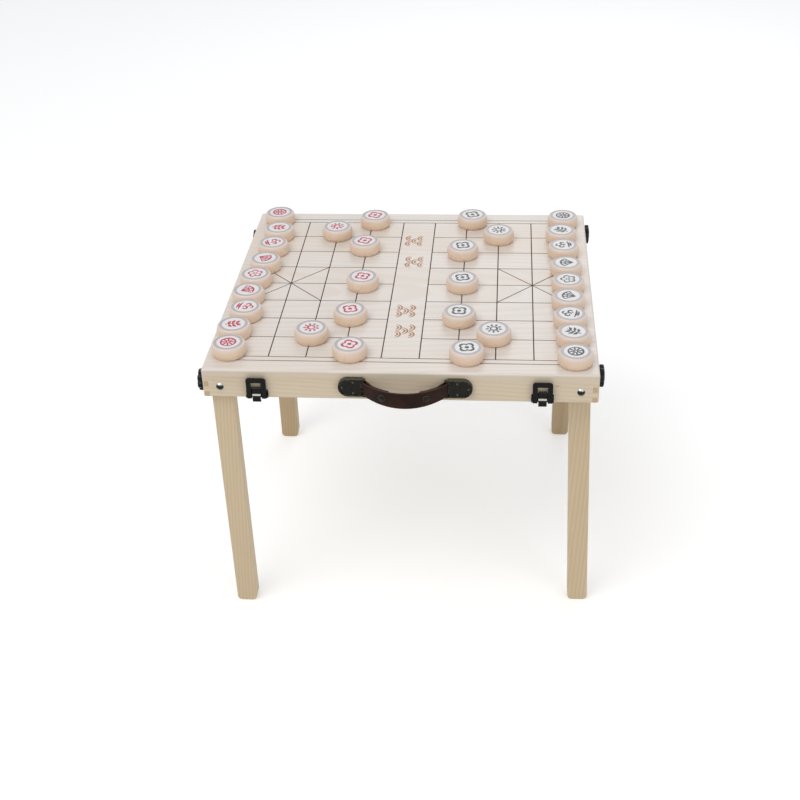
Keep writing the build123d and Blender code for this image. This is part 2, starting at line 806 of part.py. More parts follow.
def arc_band(inner, outer, start, end):
    """Part of a ring about the strap's centre; angles are from the outward direction."""
    with BuildSketch() as band:
        with BuildLine():
            far = CenterArc((0, strap_centre), outer, 90 - end, end - start)
            near = CenterArc((0, strap_centre), inner, 90 - end, end - start)
            Line(far @ 0, near @ 0)
            Line(far @ 1, near @ 1)
        make_face()
    return band.sketch


def rivet_places(outwards):
    """Places of the two rivets, the given distance outside the strap's face."""
    places = []
    for hand in hands.values():
        lean = hand * asin(rivet_offset / strap_radius)
        reach = strap_radius + outwards
        x = handle_offset_x + reach * sin(lean)
        y = front_y - strap_centre - reach * cos(lean)
        places.append(Location((x, y, rivet_z), (90, degrees(lean), 0)))
    return places


with BuildPart() as handle_strap:
    with BuildSketch(strap_plane):
        add(
            arc_band(
                strap_radius - strap_thickness, strap_radius, -strap_end_angle, strap_end_angle
            )
        )
        for hand in hands.values():
            near_end, far_end = sorted((hand * lining_start, hand * strap_end_angle))
            add(
                arc_band(
                    strap_radius - strap_thickness - strap_lining,
                    strap_radius - strap_thickness / 2,
                    near_end,
                    far_end,
                )
            )
            eye_x = hand * bar_from_middle
            with Locations((eye_x, bar_out), (eye_x, bar_out - strap_play)):
                Circle(strap_eye_radius)
            with Locations((eye_x, bar_out - strap_play / 2)):
                Rectangle(2 * strap_eye_radius, strap_play)
            with Locations((eye_x, bar_out), (eye_x, bar_out - strap_play)):
                Circle(bar_radius + side_clearance, mode=Mode.SUBTRACT)
            with Locations((eye_x, bar_out - strap_play / 2)):
                Rectangle(
                    2 * (bar_radius + side_clearance), strap_play, mode=Mode.SUBTRACT
                )
    extrude(amount=strap_mid_height, both=True)
    half_span = bar_from_middle + strap_eye_radius + 1
    middle_top = strap_mid_height / 2 - strap_sag
    middle_low = -strap_mid_height / 2 - strap_sag
    with BuildSketch(
        Plane(origin=(handle_offset_x, front_y, handle_z), x_dir=(1, 0, 0), z_dir=(0, -1, 0))
    ):
        with BuildLine():
            upper = ThreePointArc(
                (-half_span, strap_end_height / 2),
                (0, middle_top),
                (half_span, strap_end_height / 2),
            )
            lower = ThreePointArc(
                (-half_span, -strap_end_height / 2),
                (0, middle_low),
                (half_span, -strap_end_height / 2),
            )
            Line(upper @ 0, lower @ 0)
            Line(upper @ 1, lower @ 1)
        make_face()
    extrude(amount=2 * strap_reach, both=True, mode=Mode.INTERSECT)
    for place in rivet_places(0):
        with Locations(place):
            Cylinder(rivet_shank_radius, 4 * strap_thickness, mode=Mode.SUBTRACT)
finish(handle_strap, "handle_strap")

with BuildPart() as handle_rivets:
    for place in rivet_places(0):
        with Locations(place):
            Cylinder(
                rivet_shank_radius,
                rivet_grip,
                align=(Align.CENTER, Align.CENTER, Align.MAX),
            )
            Sphere(
                rivet_cap_sphere,
                arc_size1=degrees(acos(rivet_cap_radius / rivet_cap_sphere)),
                align=(Align.CENTER, Align.CENTER, Align.MIN),
            )
    for place in rivet_places(-rivet_grip):
        with Locations(place):
            Cylinder(
                rivet_cap_radius,
                rivet_washer,
                align=(Align.CENTER, Align.CENTER, Align.MAX),
            )
finish(handle_rivets, "handle_rivets")

# === Playing pieces ==============================================================
# Each entry: board line counted from the left, then for every piece on that line its
# crossing counted from the rear and how far it stands off that crossing in X and Y.
piece_places = {
    "red": {
        0: [
            (0, 2, 0),
            (1, 9, -4),
            (2, 8, -4),
            (3, 5, -6),
            (4, -1, -4),
            (5, -3, -2),
            (6, 2, 1),
            (7, -5, 3),
            (8, -3, 6),
        ],
        2: [(1, 0, 1), (7, 2, -4)],
        3: [(0, 5, -9), (2, -2, 3), (4, 6, -9), (6, -1, -3), (8, 8, 5)],
    },
    "black": {
        6: [(0, 8, -5), (2, -3, -10), (4, 0, -10), (6, -1, -5), (8, 12, 1)],
        7: [(1, 0, -8), (7, -3, -1)],
        9: [
            (0, -1, -6),
            (1, -5, -6),
            (2, -3, -6),
            (3, -1, -12),
            (4, 0, -12),
            (5, -1, -9),
            (6, 0, -8),
            (7, 2, -5),
            (8, 3, -5),
        ],
    },
}
piece_groups = {"rear": range(0, 4), "middle": range(4, 5), "front": range(5, 9)}

with BuildPart() as piece:
    with BuildSketch(Plane.XZ):
        with BuildLine():
            rim = piece_diameter / 2 - piece_belly
            side = ThreePointArc(
                (rim - piece_edge_radius / 3, piece_edge_radius / 3),
                (piece_diameter / 2, piece_height * 0.45),
                (rim, piece_height - piece_edge_radius),
            )
            shoulder = SagittaArc(
                side @ 1, (piece_face_radius, piece_height), -piece_edge_radius / 4
            )
            Line(shoulder @ 1, (0, piece_height))
            Line((0, piece_height), (0, 0))
            foot = Line((0, 0), (rim - piece_edge_radius, 0))
            Line(foot @ 1, side @ 0)
        make_face()
    revolve(axis=Axis.Z)

for colour, lines in piece_places.items():
    for group, crossings in piece_groups.items():
        with BuildPart() as pieces:
            for line, places in lines.items():
                for crossing, dx, dy in places:
                    if crossing in crossings:
                        with Locations(
                            (
                                (line - 4.5) * rank_pitch + dx,
                                seam_y + (4 - crossing) * file_pitch + dy,
                                table_height,
                            )
                        ):
                            add(piece.part)
        finish(pieces, f"{colour}_pieces_{group}")
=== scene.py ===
# %% [markdown]
# # A folding xiangqi table-box
# The real thing is two shallow pine trays, hinged along the middle of the board and
# stood upside down on four swing-out legs. Its construction comes from the CAD model,
# which is loaded here as a fixed frame. This lesson dresses that frame: wood, metal,
# leather and painted marks, piece by piece.

# %% Load the frame
import math
import random

import bmesh
import bpy
from mathutils import Matrix, Vector


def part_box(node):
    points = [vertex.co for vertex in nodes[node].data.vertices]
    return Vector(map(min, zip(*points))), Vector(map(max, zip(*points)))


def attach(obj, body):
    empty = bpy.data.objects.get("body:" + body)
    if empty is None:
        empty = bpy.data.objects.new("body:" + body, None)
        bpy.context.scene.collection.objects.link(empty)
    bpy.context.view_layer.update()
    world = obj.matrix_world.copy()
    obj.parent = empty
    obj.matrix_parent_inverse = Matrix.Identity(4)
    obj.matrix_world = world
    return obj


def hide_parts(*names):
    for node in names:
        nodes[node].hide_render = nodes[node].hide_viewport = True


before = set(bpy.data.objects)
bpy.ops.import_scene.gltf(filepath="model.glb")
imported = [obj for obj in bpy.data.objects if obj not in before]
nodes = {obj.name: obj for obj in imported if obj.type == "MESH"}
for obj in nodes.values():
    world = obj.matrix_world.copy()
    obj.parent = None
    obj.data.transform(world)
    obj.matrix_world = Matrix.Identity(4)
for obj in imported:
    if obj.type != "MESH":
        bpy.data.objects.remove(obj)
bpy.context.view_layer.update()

# %% [markdown]
# ## Sizes that several pieces share
# Everything stands where the frame says, so most places are read from a node's box.
# The few sizes below are those of the maker's drawing, in metres: Blender works in
# metres, and writing them as millimetres times MM keeps them readable.

# %% Shared sizes
MM = 0.001
board_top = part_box("front_panel")[1].z
seam_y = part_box("front_panel")[1].y
front_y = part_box("front_wall")[0].y
rank_pitch = 48 * MM
file_pitch = 50 * MM
print("board top", round(board_top, 4), "seam", round(seam_y, 4), "front", round(front_y, 4))

# %% [markdown]
# ## The camera
# The photograph was taken from in front, a little to the right and above, with a
# normal lens. Its place and turn come from matching the board's own grid, so a point
# of the model lands where the same point of the real box does.

# %% Camera
lens_data = bpy.data.cameras.new("camera")
lens_data.lens = 57.51
lens_data.sensor_width = 36
camera = bpy.data.objects.new("camera", lens_data)
bpy.context.scene.collection.objects.link(camera)
camera.location = (0.1283, seam_y - 1.5758, board_top + 0.8277)
camera.rotation_euler = [math.radians(turn) for turn in (57.196, 1.632, 4.350)]
bpy.context.scene.camera = camera
print("camera", tuple(round(v, 3) for v in camera.location), "lens", lens_data.lens)

# %% [markdown]
# ## Helpers for shader trees
# A material is a graph of nodes. With one short function for each kind of node, a
# recipe reads almost like a formula. Every value may be a plain number or the output
# of another node.

# %% Node helpers


def add_node(tree, kind, inputs=None, **settings):
    """One shader node. Inputs may be plain values or sockets of other nodes."""
    node = tree.nodes.new(kind)
    for name, value in settings.items():
        setattr(node, name, value)
    for name, value in (inputs or {}).items():
        if isinstance(value, bpy.types.NodeSocket):
            tree.links.new(value, node.inputs[name])
        else:
            node.inputs[name].default_value = value
    return node


def maths(tree, operation, a, b=0.0, c=0.0):
    return add_node(tree, "ShaderNodeMath", {0: a, 1: b, 2: c}, operation=operation).outputs[0]


def product(tree, first, *others):
    for other in others:
        first = maths(tree, "MULTIPLY", first, other)
    return first


def hypotenuse(tree, a, b):
    return maths(tree, "SQRT", maths(tree, "ADD", product(tree, a, a), product(tree, b, b)))


def vector_maths(tree, operation, a, b, output="Vector"):
    node = add_node(tree, "ShaderNodeVectorMath", {0: a, 1: b}, operation=operation)
    return node.outputs[output]


def coordinate(tree, vector, axis):
    return add_node(tree, "ShaderNodeSeparateXYZ", {0: vector}).outputs[axis]


def surface(tree, kind):
    """Kind is Object for the object's own coordinates, or Normal for the way it faces."""
    return add_node(tree, "ShaderNodeTexCoord").outputs[kind]


def ramp(tree, value, low, high, to_low=0.0, to_high=1.0):
    """Smoothly carries a value from low..high to to_low..to_high."""
    node = add_node(
        tree,
        "ShaderNodeMapRange",
        {"Value": value, "From Min": low, "From Max": high, "To Min": to_low, "To Max": to_high},
        interpolation_type="SMOOTHSTEP",
    )
    return node.outputs["Result"]


def stretch(tree, vector, scale):
    return add_node(tree, "ShaderNodeMapping", {"Vector": vector, "Scale": scale}).outputs["Vector"]


def noise_value(tree, vector, scale, detail=2.0, roughness=0.5):
    node = add_node(
        tree,
        "ShaderNodeTexNoise",
        {"Vector": vector, "Scale": scale, "Detail": detail, "Roughness": roughness},
    )
    return node.outputs["Fac"]


def mix_colour(tree, amount, first, second):
    node = add_node(tree, "ShaderNodeMix", {0: amount, 6: first, 7: second}, data_type="RGBA")
    return node.outputs[2]


def place_group(tree, group, inputs):
    return add_node(tree, "ShaderNodeGroup", inputs, node_tree=group).outputs


print("node helpers ready")

# %% [markdown]
# ## Floor, sky and lamps
# Pale wood shows its grain best under one large soft lamp and a bright, even sky.
# The floor is a plain matt white sheet. A little extra light that only the camera
# sees lifts it to paper white, and the box still drops its soft shadow on it.

# %% Studio
FLOOR_LIFT = 0.36
FLOOR_RADIUS = 14
scene = bpy.context.scene
scene.view_settings.view_transform = "Standard"


def camera_like_rays(tree):
    """1 for rays from the camera or off a mirror or glass, else 0."""
    path = add_node(tree, "ShaderNodeLightPath").outputs
    seen = maths(tree, "MAXIMUM", path["Is Camera Ray"], path["Is Glossy Ray"])
    return maths(tree, "MAXIMUM", seen, path["Is Transmission Ray"])


sky = bpy.data.worlds.new("soft_sky")
scene.world = sky
sky.use_nodes = True
tree = sky.node_tree
tree.nodes.clear()
sky_light = add_node(tree, "ShaderNodeBackground", {"Color": (0.97, 0.985, 1, 1), "Strength": 0.62})
sky_seen = add_node(tree, "ShaderNodeBackground", {"Color": (1, 1, 1, 1), "Strength": 1})
sky_mix = add_node(
    tree,
    "ShaderNodeMixShader",
    {0: camera_like_rays(tree), 1: sky_light.outputs[0], 2: sky_seen.outputs[0]},
)
add_node(tree, "ShaderNodeOutputWorld", {0: sky_mix.outputs[0]})


def add_lamp(name, place, aim, size, power, colour):
    data = bpy.data.lights.new(name, "AREA")
    data.shape = "DISK"
    data.size = size
    data.energy = power
    data.color = colour
    lamp = bpy.data.objects.new(name, data)
    scene.collection.objects.link(lamp)
    lamp.location = place
    lamp.rotation_euler = (Vector(aim) - Vector(place)).to_track_quat("-Z", "Y").to_euler()


add_lamp("key_lamp", (-0.9, -1.2, 2.7), (0, 0, 0.35), 1.8, 26, (1, 0.985, 0.96))
add_lamp("fill_lamp", (1.9, -1.9, 1.3), (0, 0, 0.3), 1.6, 9, (1, 0.99, 0.98))
add_lamp("rear_lamp", (0.4, 2.4, 1.9), (0, 0, 0.35), 1.6, 9, (0.98, 0.99, 1))

floor_mesh = bpy.data.meshes.new("studio_floor")
floor_shape = bmesh.new()
bmesh.ops.create_circle(floor_shape, cap_ends=True, segments=96, radius=FLOOR_RADIUS)
floor_shape.to_mesh(floor_mesh)
floor = bpy.data.objects.new("studio_floor", floor_mesh)
scene.collection.objects.link(floor)
floor_paint = bpy.data.materials.new("matt_white_floor")
floor_paint.use_nodes = True
tree = floor_paint.node_tree
tree.nodes.clear()
floor_white = add_node(tree, "ShaderNodeBsdfDiffuse", {"Color": (0.8, 0.8, 0.8, 1)})
floor_lift = add_node(
    tree, "ShaderNodeEmission", {"Strength": product(tree, camera_like_rays(tree), FLOOR_LIFT)}
)
floor_parts = add_node(
    tree, "ShaderNodeAddShader", {0: floor_white.outputs[0], 1: floor_lift.outputs[0]}
)
add_node(tree, "ShaderNodeOutputMaterial", {0: floor_parts.outputs[0]})
floor_mesh.materials.append(floor_paint)

# %% [markdown]
# ## Colours
# Colours are easiest to judge as the numbers a paint program shows. The renderer
# wants them in linear light, so one small helper converts them.

# %% Colour helper


def paint(red, green, blue):
    """A colour given as 0-255 screen values, in the renderer's linear light."""
    linear = []
    for value in (red, green, blue):
        share = value / 255
        linear.append(share / 12.92 if share <= 0.04045 else ((share + 0.055) / 1.055) ** 2.4)
    return (*linear, 1)


print("test colour", tuple(round(v, 3) for v in paint(222, 212, 202)))

# %% [markdown]
# ## Shader group: pine grain
# A board's figure is a slice through the tree's rings. Distance from a long, slightly
# wandering core gives rings, and the flat cut of the board turns them into the long
# arches of real pine. Fine fibres are a noise stretched along the grain. Every wooden
# piece uses this group, each with its own place in the log.

# %% Build the grain group


def group_socket(group, name, direction, kind="NodeSocketFloat", value=None):
    socket = group.interface.new_socket(name=name, in_out=direction, socket_type=kind)
    if value is not None:
        socket.default_value = value
    return socket


CORE_TILT = 0.06
pine_group = tree = bpy.data.node_groups.new("pine_grain", "ShaderNodeTree")
group_socket(tree, "Along", "INPUT", "NodeSocketVector")
group_socket(tree, "Ring Width", "INPUT", value=0.006)
group_socket(tree, "Wander", "INPUT", value=0.03)
group_socket(tree, "Core Height", "INPUT", value=0.06)
for name in ("Rings", "Fibre", "Cloud"):
    group_socket(tree, name, "OUTPUT")
pine_in = add_node(tree, "NodeGroupInput").outputs
pine_out = add_node(tree, "NodeGroupOutput").inputs
along = pine_in["Along"]
swing = maths(tree, "SUBTRACT", noise_value(tree, stretch(tree, along, (1.6, 9, 9)), 1.0), 0.5)
across = maths(tree, "ADD", coordinate(tree, along, "Y"), product(tree, swing, pine_in["Wander"]))
core = maths(tree, "MULTIPLY_ADD", coordinate(tree, along, "X"), CORE_TILT, pine_in["Core Height"])
deep = maths(tree, "ADD", coordinate(tree, along, "Z"), core)
rings_out = maths(tree, "DIVIDE", hypotenuse(tree, across, deep), pine_in["Ring Width"])
ring_phase = maths(tree, "FRACT", rings_out)
late_wood = product(
    tree, ramp(tree, ring_phase, 0.25, 0.9), ramp(tree, ring_phase, 0.93, 1.0, 1.0, 0.0)
)
fibre = noise_value(tree, stretch(tree, along, (22, 900, 900)), 1.0, 3.0, 0.6)
cloud = noise_value(tree, stretch(tree, along, (3, 26, 26)), 1.0, 3.0, 0.55)
for name, value in (("Rings", late_wood), ("Fibre", fibre), ("Cloud", cloud)):
    tree.links.new(value, pine_out[name])
print("group", pine_group.name, "has", len(tree.nodes), "nodes")

# %% [markdown]
# ## Shader group: handling wear
# Corners that hands touch lose their paint or darken with grease. Cycles' Bevel node
# looks a little way around each point, and where the rounded normal leaves the true
# one, there is an edge. A noise breaks the wear up, so that no edge is worn evenly.

# %% Build the edge group
edge_group = tree = bpy.data.node_groups.new("edge_wear", "ShaderNodeTree")
group_socket(tree, "Width", "INPUT", value=0.0008)
group_socket(tree, "Patches", "INPUT", value=300.0)
group_socket(tree, "Wear", "OUTPUT")
edge_in = add_node(tree, "NodeGroupInput").outputs
edge_out = add_node(tree, "NodeGroupOutput").inputs
rounded = add_node(tree, "ShaderNodeBevel", {"Radius": edge_in["Width"]}, samples=4)
true_normal = add_node(tree, "ShaderNodeNewGeometry").outputs["True Normal"]
agreement = vector_maths(tree, "DOT_PRODUCT", rounded.outputs[0], true_normal, "Value")
patches = noise_value(tree, surface(tree, "Object"), edge_in["Patches"], 3.0)
wear = product(tree, ramp(tree, agreement, 0.995, 0.85), ramp(tree, patches, 0.4, 0.62))
tree.links.new(wear, edge_out["Wear"])
print("group", edge_group.name, "has", len(tree.nodes), "nodes")

# %% [markdown]
# ## Wood finishes
# The trays and legs are clear-lacquered pine. One recipe serves them all: base colour
# mixed with ring lines, fibres and slow clouds, then a satin roughness and a very
# shallow bump along the fibres. What differs is which way the grain runs and how
# much light the lacquer has let the wood take. The rear legs get darker tones as
# painted shade, for the shadow under the box.

# %% Wood recipe


def new_finish(name):
    """A material with its tree, its shader and the object coordinates."""
    material = bpy.data.materials.new(name)
    material.use_nodes = True
    tree = material.node_tree
    return material, tree, tree.nodes["Principled BSDF"], surface(tree, "Object")


def plug(tree, shader, colour, roughness):
    tree.links.new(colour, shader.inputs["Base Color"])
    tree.links.new(roughness, shader.inputs["Roughness"])


def recolour(tree, shader, amount, tint):
    """Mixes a tint over whatever already feeds the base colour."""
    old = shader.inputs["Base Color"].links[0].from_socket
    tree.links.new(mix_colour(tree, amount, old, tint), shader.inputs["Base Color"])


def raise_surface(tree, shader, height, distance, strength):
    bump = add_node(
        tree, "ShaderNodeBump", {"Height": height, "Distance": distance, "Strength": strength}
    )
    tree.links.new(bump.outputs[0], shader.inputs["Normal"])


GRAIN_TURNS = {
    "x": (0, 0, 0),
    "y": (0, 0, math.pi / 2),
    "z": (0, math.pi / 2, 0),
}


def turned(tree, place, axis, shift):
    node = add_node(
        tree,
        "ShaderNodeMapping",
        {"Vector": place, "Rotation": GRAIN_TURNS[axis], "Location": shift},
    )
    return node.outputs["Vector"]


def wood_layers(tree, grain, pale, warm, dark, strength):
    """Colour of a board from its grain masks."""
    base = mix_colour(tree, grain["Cloud"], pale, warm)
    ringed = mix_colour(tree, product(tree, grain["Rings"], 0.55 * strength), base, dark)
    fibres = ramp(tree, grain["Fibre"], 0.42, 0.8, 0.0, 0.35 * strength)
    return mix_colour(tree, fibres, ringed, dark)


def wood_bump(tree, shader, grain, depth=0.05 * MM):
    height = maths(tree, "MULTIPLY_ADD", grain["Rings"], 0.4, grain["Fibre"])
    raise_surface(tree, shader, height, depth, 0.6)


def add_knots(tree, colour, place, amount, tint):
    """Small round knots, rare and a little darker."""
    cells = add_node(
        tree,
        "ShaderNodeTexVoronoi",
        {"Vector": stretch(tree, place, (9, 9, 22)), "Scale": 1.0, "Randomness": 1.0},
    ).outputs
    core = ramp(tree, cells["Distance"], 0.055, 0.03)
    chance = add_node(tree, "ShaderNodeSeparateColor", {0: cells["Color"]}).outputs[0]
    knots = product(tree, core, ramp(tree, chance, 0.55, 0.6), amount)
    return mix_colour(tree, knots, colour, tint)


def pine_finish(name, axis, shift, tones, strength, knots=0.0, **grain_values):
    """Tones are the wood's pale, warm and dark colours."""
    material, tree, shader, place = new_finish(name)
    along_board = turned(tree, place, axis, shift)
    grain = place_group(tree, pine_group, {"Along": along_board, **grain_values})
    colour = wood_layers(tree, grain, *tones, strength)
    dark = tones[-1]
    if knots:
        colour = add_knots(tree, colour, place, knots, dark)
    wear = place_group(tree, edge_group, {"Width": 0.9 * MM, "Patches": 120.0})["Wear"]
    colour = mix_colour(tree, product(tree, wear, 0.3), colour, dark)
    plug(tree, shader, colour, ramp(tree, grain["Cloud"], 0.3, 0.7, 0.36, 0.48))
    shader.inputs["Specular IOR Level"].default_value = 0.4
    wood_bump(tree, shader, grain)
    return material


WALL_TONES = (paint(224, 209, 186), paint(212, 193, 166), paint(186, 156, 120))
LEG_TONES = (paint(220, 201, 170), paint(208, 186, 152), paint(180, 148, 108))
# Painted shade: darker copies of the leg tones for the rear legs, which stand in the shadow under
# the box.
SHADED_REAR_LEG_TONES = (paint(202, 180, 146), paint(190, 165, 129), paint(162, 128, 90))
LEG_GRAIN = {"Ring Width": 0.0043, "Wander": 0.025}
wall_finish = pine_finish("pine_cross_wall", "x", (0.1, 0.23, -0.3), WALL_TONES, 0.3, 0.6)
side_finish = pine_finish("pine_side_wall", "y", (0.3, 0.1, -0.31), WALL_TONES, 0.3, 0.6)
leg_finish = pine_finish("pine_leg", "z", (0.2, 0.1, 0.05), LEG_TONES, 0.42, **LEG_GRAIN)
shaded_rear_leg_finish = pine_finish(
    "pine_rear_leg_painted_shade", "z", (0.35, 0.02, 0.11), SHADED_REAR_LEG_TONES, 0.42, **LEG_GRAIN
)
print("wood finishes:", wall_finish.name, side_finish.name, leg_finish.name)

# %% [markdown]
# ## The board
# The playing surface is a panel glued up from narrow pine strips, each with its own
# tone, and a hot tool has burnt the lines into it. In the frame the lines are shallow
# grooves. Their floor lies just below the surface, so height alone tells the finish
# where to go dark, and the strips come from rounding the position across the board.

# %% Board finish
STRIP_WIDTH = 47 * MM
GLUE_LINE_SHARE = 0.008
LINES_HALF_X = 227.5 * MM
LINES_HALF_Y = 211.5 * MM
SATIN = 0.36
CHARRED = 0.8
board_finish, tree, shader, place = new_finish("engraved_pine_board")
from_seam = maths(tree, "SUBTRACT", coordinate(tree, place, "Y"), seam_y)
below_top = maths(tree, "SUBTRACT", board_top, coordinate(tree, place, "Z"))
strips = maths(tree, "DIVIDE", from_seam, STRIP_WIDTH)
strip_random = add_node(
    tree, "ShaderNodeTexWhiteNoise", {"W": maths(tree, "FLOOR", strips)}, noise_dimensions="1D"
).outputs
strip_shift = vector_maths(tree, "MULTIPLY", strip_random["Color"], (2.0, 0.04, 0.05))
strip_place = vector_maths(tree, "ADD", place, strip_shift)
grain = place_group(
    tree,
    pine_group,
    {
        "Along": turned(tree, strip_place, "x", (0, 0, -0.36)),
        "Ring Width": 0.0075,
        "Wander": 0.05,
        "Core Height": 0.04,
    },
)
board_colour = wood_layers(
    tree, grain, paint(227, 222, 218), paint(220, 212, 205), paint(202, 183, 162), 0.42
)
strip_tone = ramp(tree, strip_random["Value"], 0.0, 1.0, 0.0, 0.35)
board_colour = mix_colour(tree, strip_tone, board_colour, paint(221, 205, 188))
glue_line = maths(tree, "LESS_THAN", maths(tree, "FRACT", strips), GLUE_LINE_SHARE)
board_colour = mix_colour(tree, product(tree, glue_line, 0.35), board_colour, paint(190, 165, 140))
panel_edge = ramp(tree, below_top, 1.2 * MM, 3.5 * MM)
board_colour = mix_colour(tree, product(tree, panel_edge, 0.85), board_colour, paint(214, 197, 172))
burnt = product(
    tree,
    maths(tree, "LESS_THAN", maths(tree, "ABSOLUTE", coordinate(tree, place, "X")), LINES_HALF_X),
    maths(tree, "LESS_THAN", maths(tree, "ABSOLUTE", from_seam), LINES_HALF_Y),
    ramp(tree, below_top, 0.12 * MM, 0.4 * MM),
    ramp(tree, below_top, 0.9 * MM, 0.7 * MM),
)
char_noise = noise_value(tree, place, 160.0, 3.0)
char_colour = mix_colour(tree, char_noise, paint(52, 34, 26), paint(92, 66, 50))
board_colour = mix_colour(tree, burnt, board_colour, char_colour)
plug(tree, shader, board_colour, maths(tree, "MULTIPLY_ADD", burnt, CHARRED - SATIN, SATIN))
shader.inputs["Specular IOR Level"].default_value = 0.45
wood_bump(tree, shader, grain, 0.04 * MM)
print("board finish has", len(tree.nodes), "nodes")

# %% [markdown]
# ## Metals, plastic and leather
# The latches are stamped steel in black lacquer that has worn through on its edges.
# The handle plates are cast and blackened, and their rims are polished by hands. Bolts
# are chromed, hinges dull plated. Each finish has its own small unevenness, because a
# perfectly even metal reads as paint. Most of them also carry a painted highlight: faces
# that look up are paled, as if lit by the bright sky.

# %% Metal recipe


def metal_finish(
    name, colour, wear_and_sheen, roughness, metallic, wear,
    scratch=400.0, width=0.6 * MM, shine=0.5, spotted=0.3, upper=0.0,
):
    """Wear on edges and in spots; as far as upper says, a painted highlight on upward faces."""
    material, tree, shader, place = new_finish(name)
    edges = place_group(tree, edge_group, {"Width": width, "Patches": scratch})["Wear"]
    spots = noise_value(tree, place, scratch, 4.0, 0.6)
    base = mix_colour(tree, ramp(tree, spots, 0.4, 0.8, 0.0, spotted), colour, wear_and_sheen)
    base = mix_colour(tree, product(tree, edges, wear), base, wear_and_sheen)
    # Painted highlight: faces that look up get the second colour, as far as upper says.
    if upper:
        facing = coordinate(tree, surface(tree, "Normal"), "Z")
        base = mix_colour(tree, ramp(tree, facing, 0.3, 0.8, 0.0, upper), base, wear_and_sheen)
    plug(tree, shader, base, ramp(tree, spots, 0.3, 0.75, roughness * 0.8, roughness * 1.35))
    shader.inputs["Metallic"].default_value = metallic
    shader.inputs["Specular IOR Level"].default_value = shine
    raise_surface(tree, shader, spots, 0.03 * MM, 0.5)
    return material


# Painted highlight: upper=0.5 pales the black lacquer on faces that look up.
black_lacquer = metal_finish(
    "black_lacquered_steel", paint(5, 6, 6), paint(62, 61, 56), 0.24, 0, 0.8,
    shine=0.16, spotted=0.1, upper=0.5,
)
# Chrome: the dark green base is a painted reflection of the ground, and the near-white that upper
# paints on faces that look up is a painted reflection of the sky.
chrome = metal_finish(
    "chromed_steel", paint(34, 42, 40), paint(226, 230, 230), 0.1, 1, 0,
    spotted=0.04, upper=0.95,
)
# Painted highlight: upper=0.4 pales the bronze on faces that look up.
bronze = metal_finish(
    "blackened_bronze", paint(12, 14, 7), paint(106, 102, 86), 0.3, 0.1, 0.9,
    scratch=260.0, width=1.1 * MM, shine=0.2, spotted=0.05, upper=0.4,
)
# Painted highlight: upper=0.5 gives the plastic's upward faces a bluish-grey sheen.
black_plastic = metal_finish(
    "black_moulded_plastic", paint(6, 7, 10), paint(46, 50, 60), 0.28, 0, 0.5,
    scratch=700.0, shine=0.2, spotted=0.12, upper=0.5,
)
zinc = metal_finish("zinc_plated_steel", paint(176, 178, 180), paint(130, 128, 124), 0.32, 1, 0.5)
dull_plate = metal_finish(
    "dull_plated_steel", paint(150, 146, 138), paint(196, 190, 178), 0.36, 1, 0.7
)
turned_brass = metal_finish("turned_brass", paint(196, 160, 92), paint(150, 116, 62), 0.28, 1, 0.4)
aged_brass = metal_finish("aged_brass", paint(92, 88, 66), paint(60, 56, 42), 0.4, 0.9, 0.4)
print("metal finishes ready")

# %% [markdown]
# On the hook's shoulder a narrow pale band is painted into the black lacquer: a painted
# highlight, where the bend of the steel catches the light.

# %% Latch hook finish
HIGHLIGHT_LOW, HIGHLIGHT_HIGH, HIGHLIGHT_BLUR = 354.6 * MM, 356.4 * MM, 0.2 * MM
hook_lacquer = black_lacquer.copy()
hook_lacquer.name = "latch_hook_painted_highlight"
tree = hook_lacquer.node_tree
shader = tree.nodes["Principled BSDF"]
hook_height = coordinate(tree, surface(tree, "Object"), "Z")
# Painted highlight: a pale band across the hook's shoulder, chosen by height.
painted_highlight = product(
    tree,
    ramp(tree, hook_height, HIGHLIGHT_LOW - HIGHLIGHT_BLUR, HIGHLIGHT_LOW + HIGHLIGHT_BLUR),
    ramp(tree, hook_height, HIGHLIGHT_HIGH + HIGHLIGHT_BLUR, HIGHLIGHT_HIGH - HIGHLIGHT_BLUR),
)
recolour(tree, shader, painted_highlight, paint(204, 200, 188))
print("hook finish has", len(tree.nodes), "nodes")

# %% [markdown]
# The strap is waxed brown leather: pebbled, creased along its length, with a slow
# patina. Where it was cut, along its two edges, the paler inside of the hide shows.

# %% Leather finish
leather, tree, shader, place = new_finish("waxed_brown_leather")
pebbles = add_node(
    tree, "ShaderNodeTexVoronoi", {"Vector": place, "Scale": 1100.0, "Randomness": 0.9}
)
creases = noise_value(tree, stretch(tree, place, (260, 600, 600)), 1.0, 4.0, 0.6)
patina = noise_value(tree, place, 38.0, 4.0, 0.55)
leather_colour = mix_colour(
    tree, ramp(tree, patina, 0.3, 0.75), paint(34, 17, 9), paint(56, 31, 19)
)
pebble_gaps = ramp(tree, pebbles.outputs["Distance"], 0.25, 0.7, 0.0, 0.35)
leather_colour = mix_colour(tree, pebble_gaps, leather_colour, paint(18, 10, 6))
cut_edge = add_node(tree, "ShaderNodeAttribute", attribute_name="cut_edge").outputs["Fac"]
leather_colour = mix_colour(tree, product(tree, cut_edge, 0.6), leather_colour, paint(88, 68, 60))
plug(tree, shader, leather_colour, ramp(tree, creases, 0.3, 0.7, 0.38, 0.56))
pebble_height = product(tree, pebbles.outputs["Distance"], 0.5)
leather_height = maths(tree, "MULTIPLY_ADD", creases, 0.8, pebble_height)
raise_surface(tree, shader, leather_height, 0.22 * MM, 0.8)
shader.inputs["Specular IOR Level"].default_value = 0.12
print("leather finish has", len(tree.nodes), "nodes")

# %% [markdown]
# ## Dress the frame's own nodes
# Where a CAD solid already has the right shape, it only needs its finish. Flat faces
# stay flat and round ones are shaded smooth by the angle between faces. End grain is
# the one exception on the walls: the box-joint fingers show the cut ends of the fibres,
# darker and browner than the faces beside them.

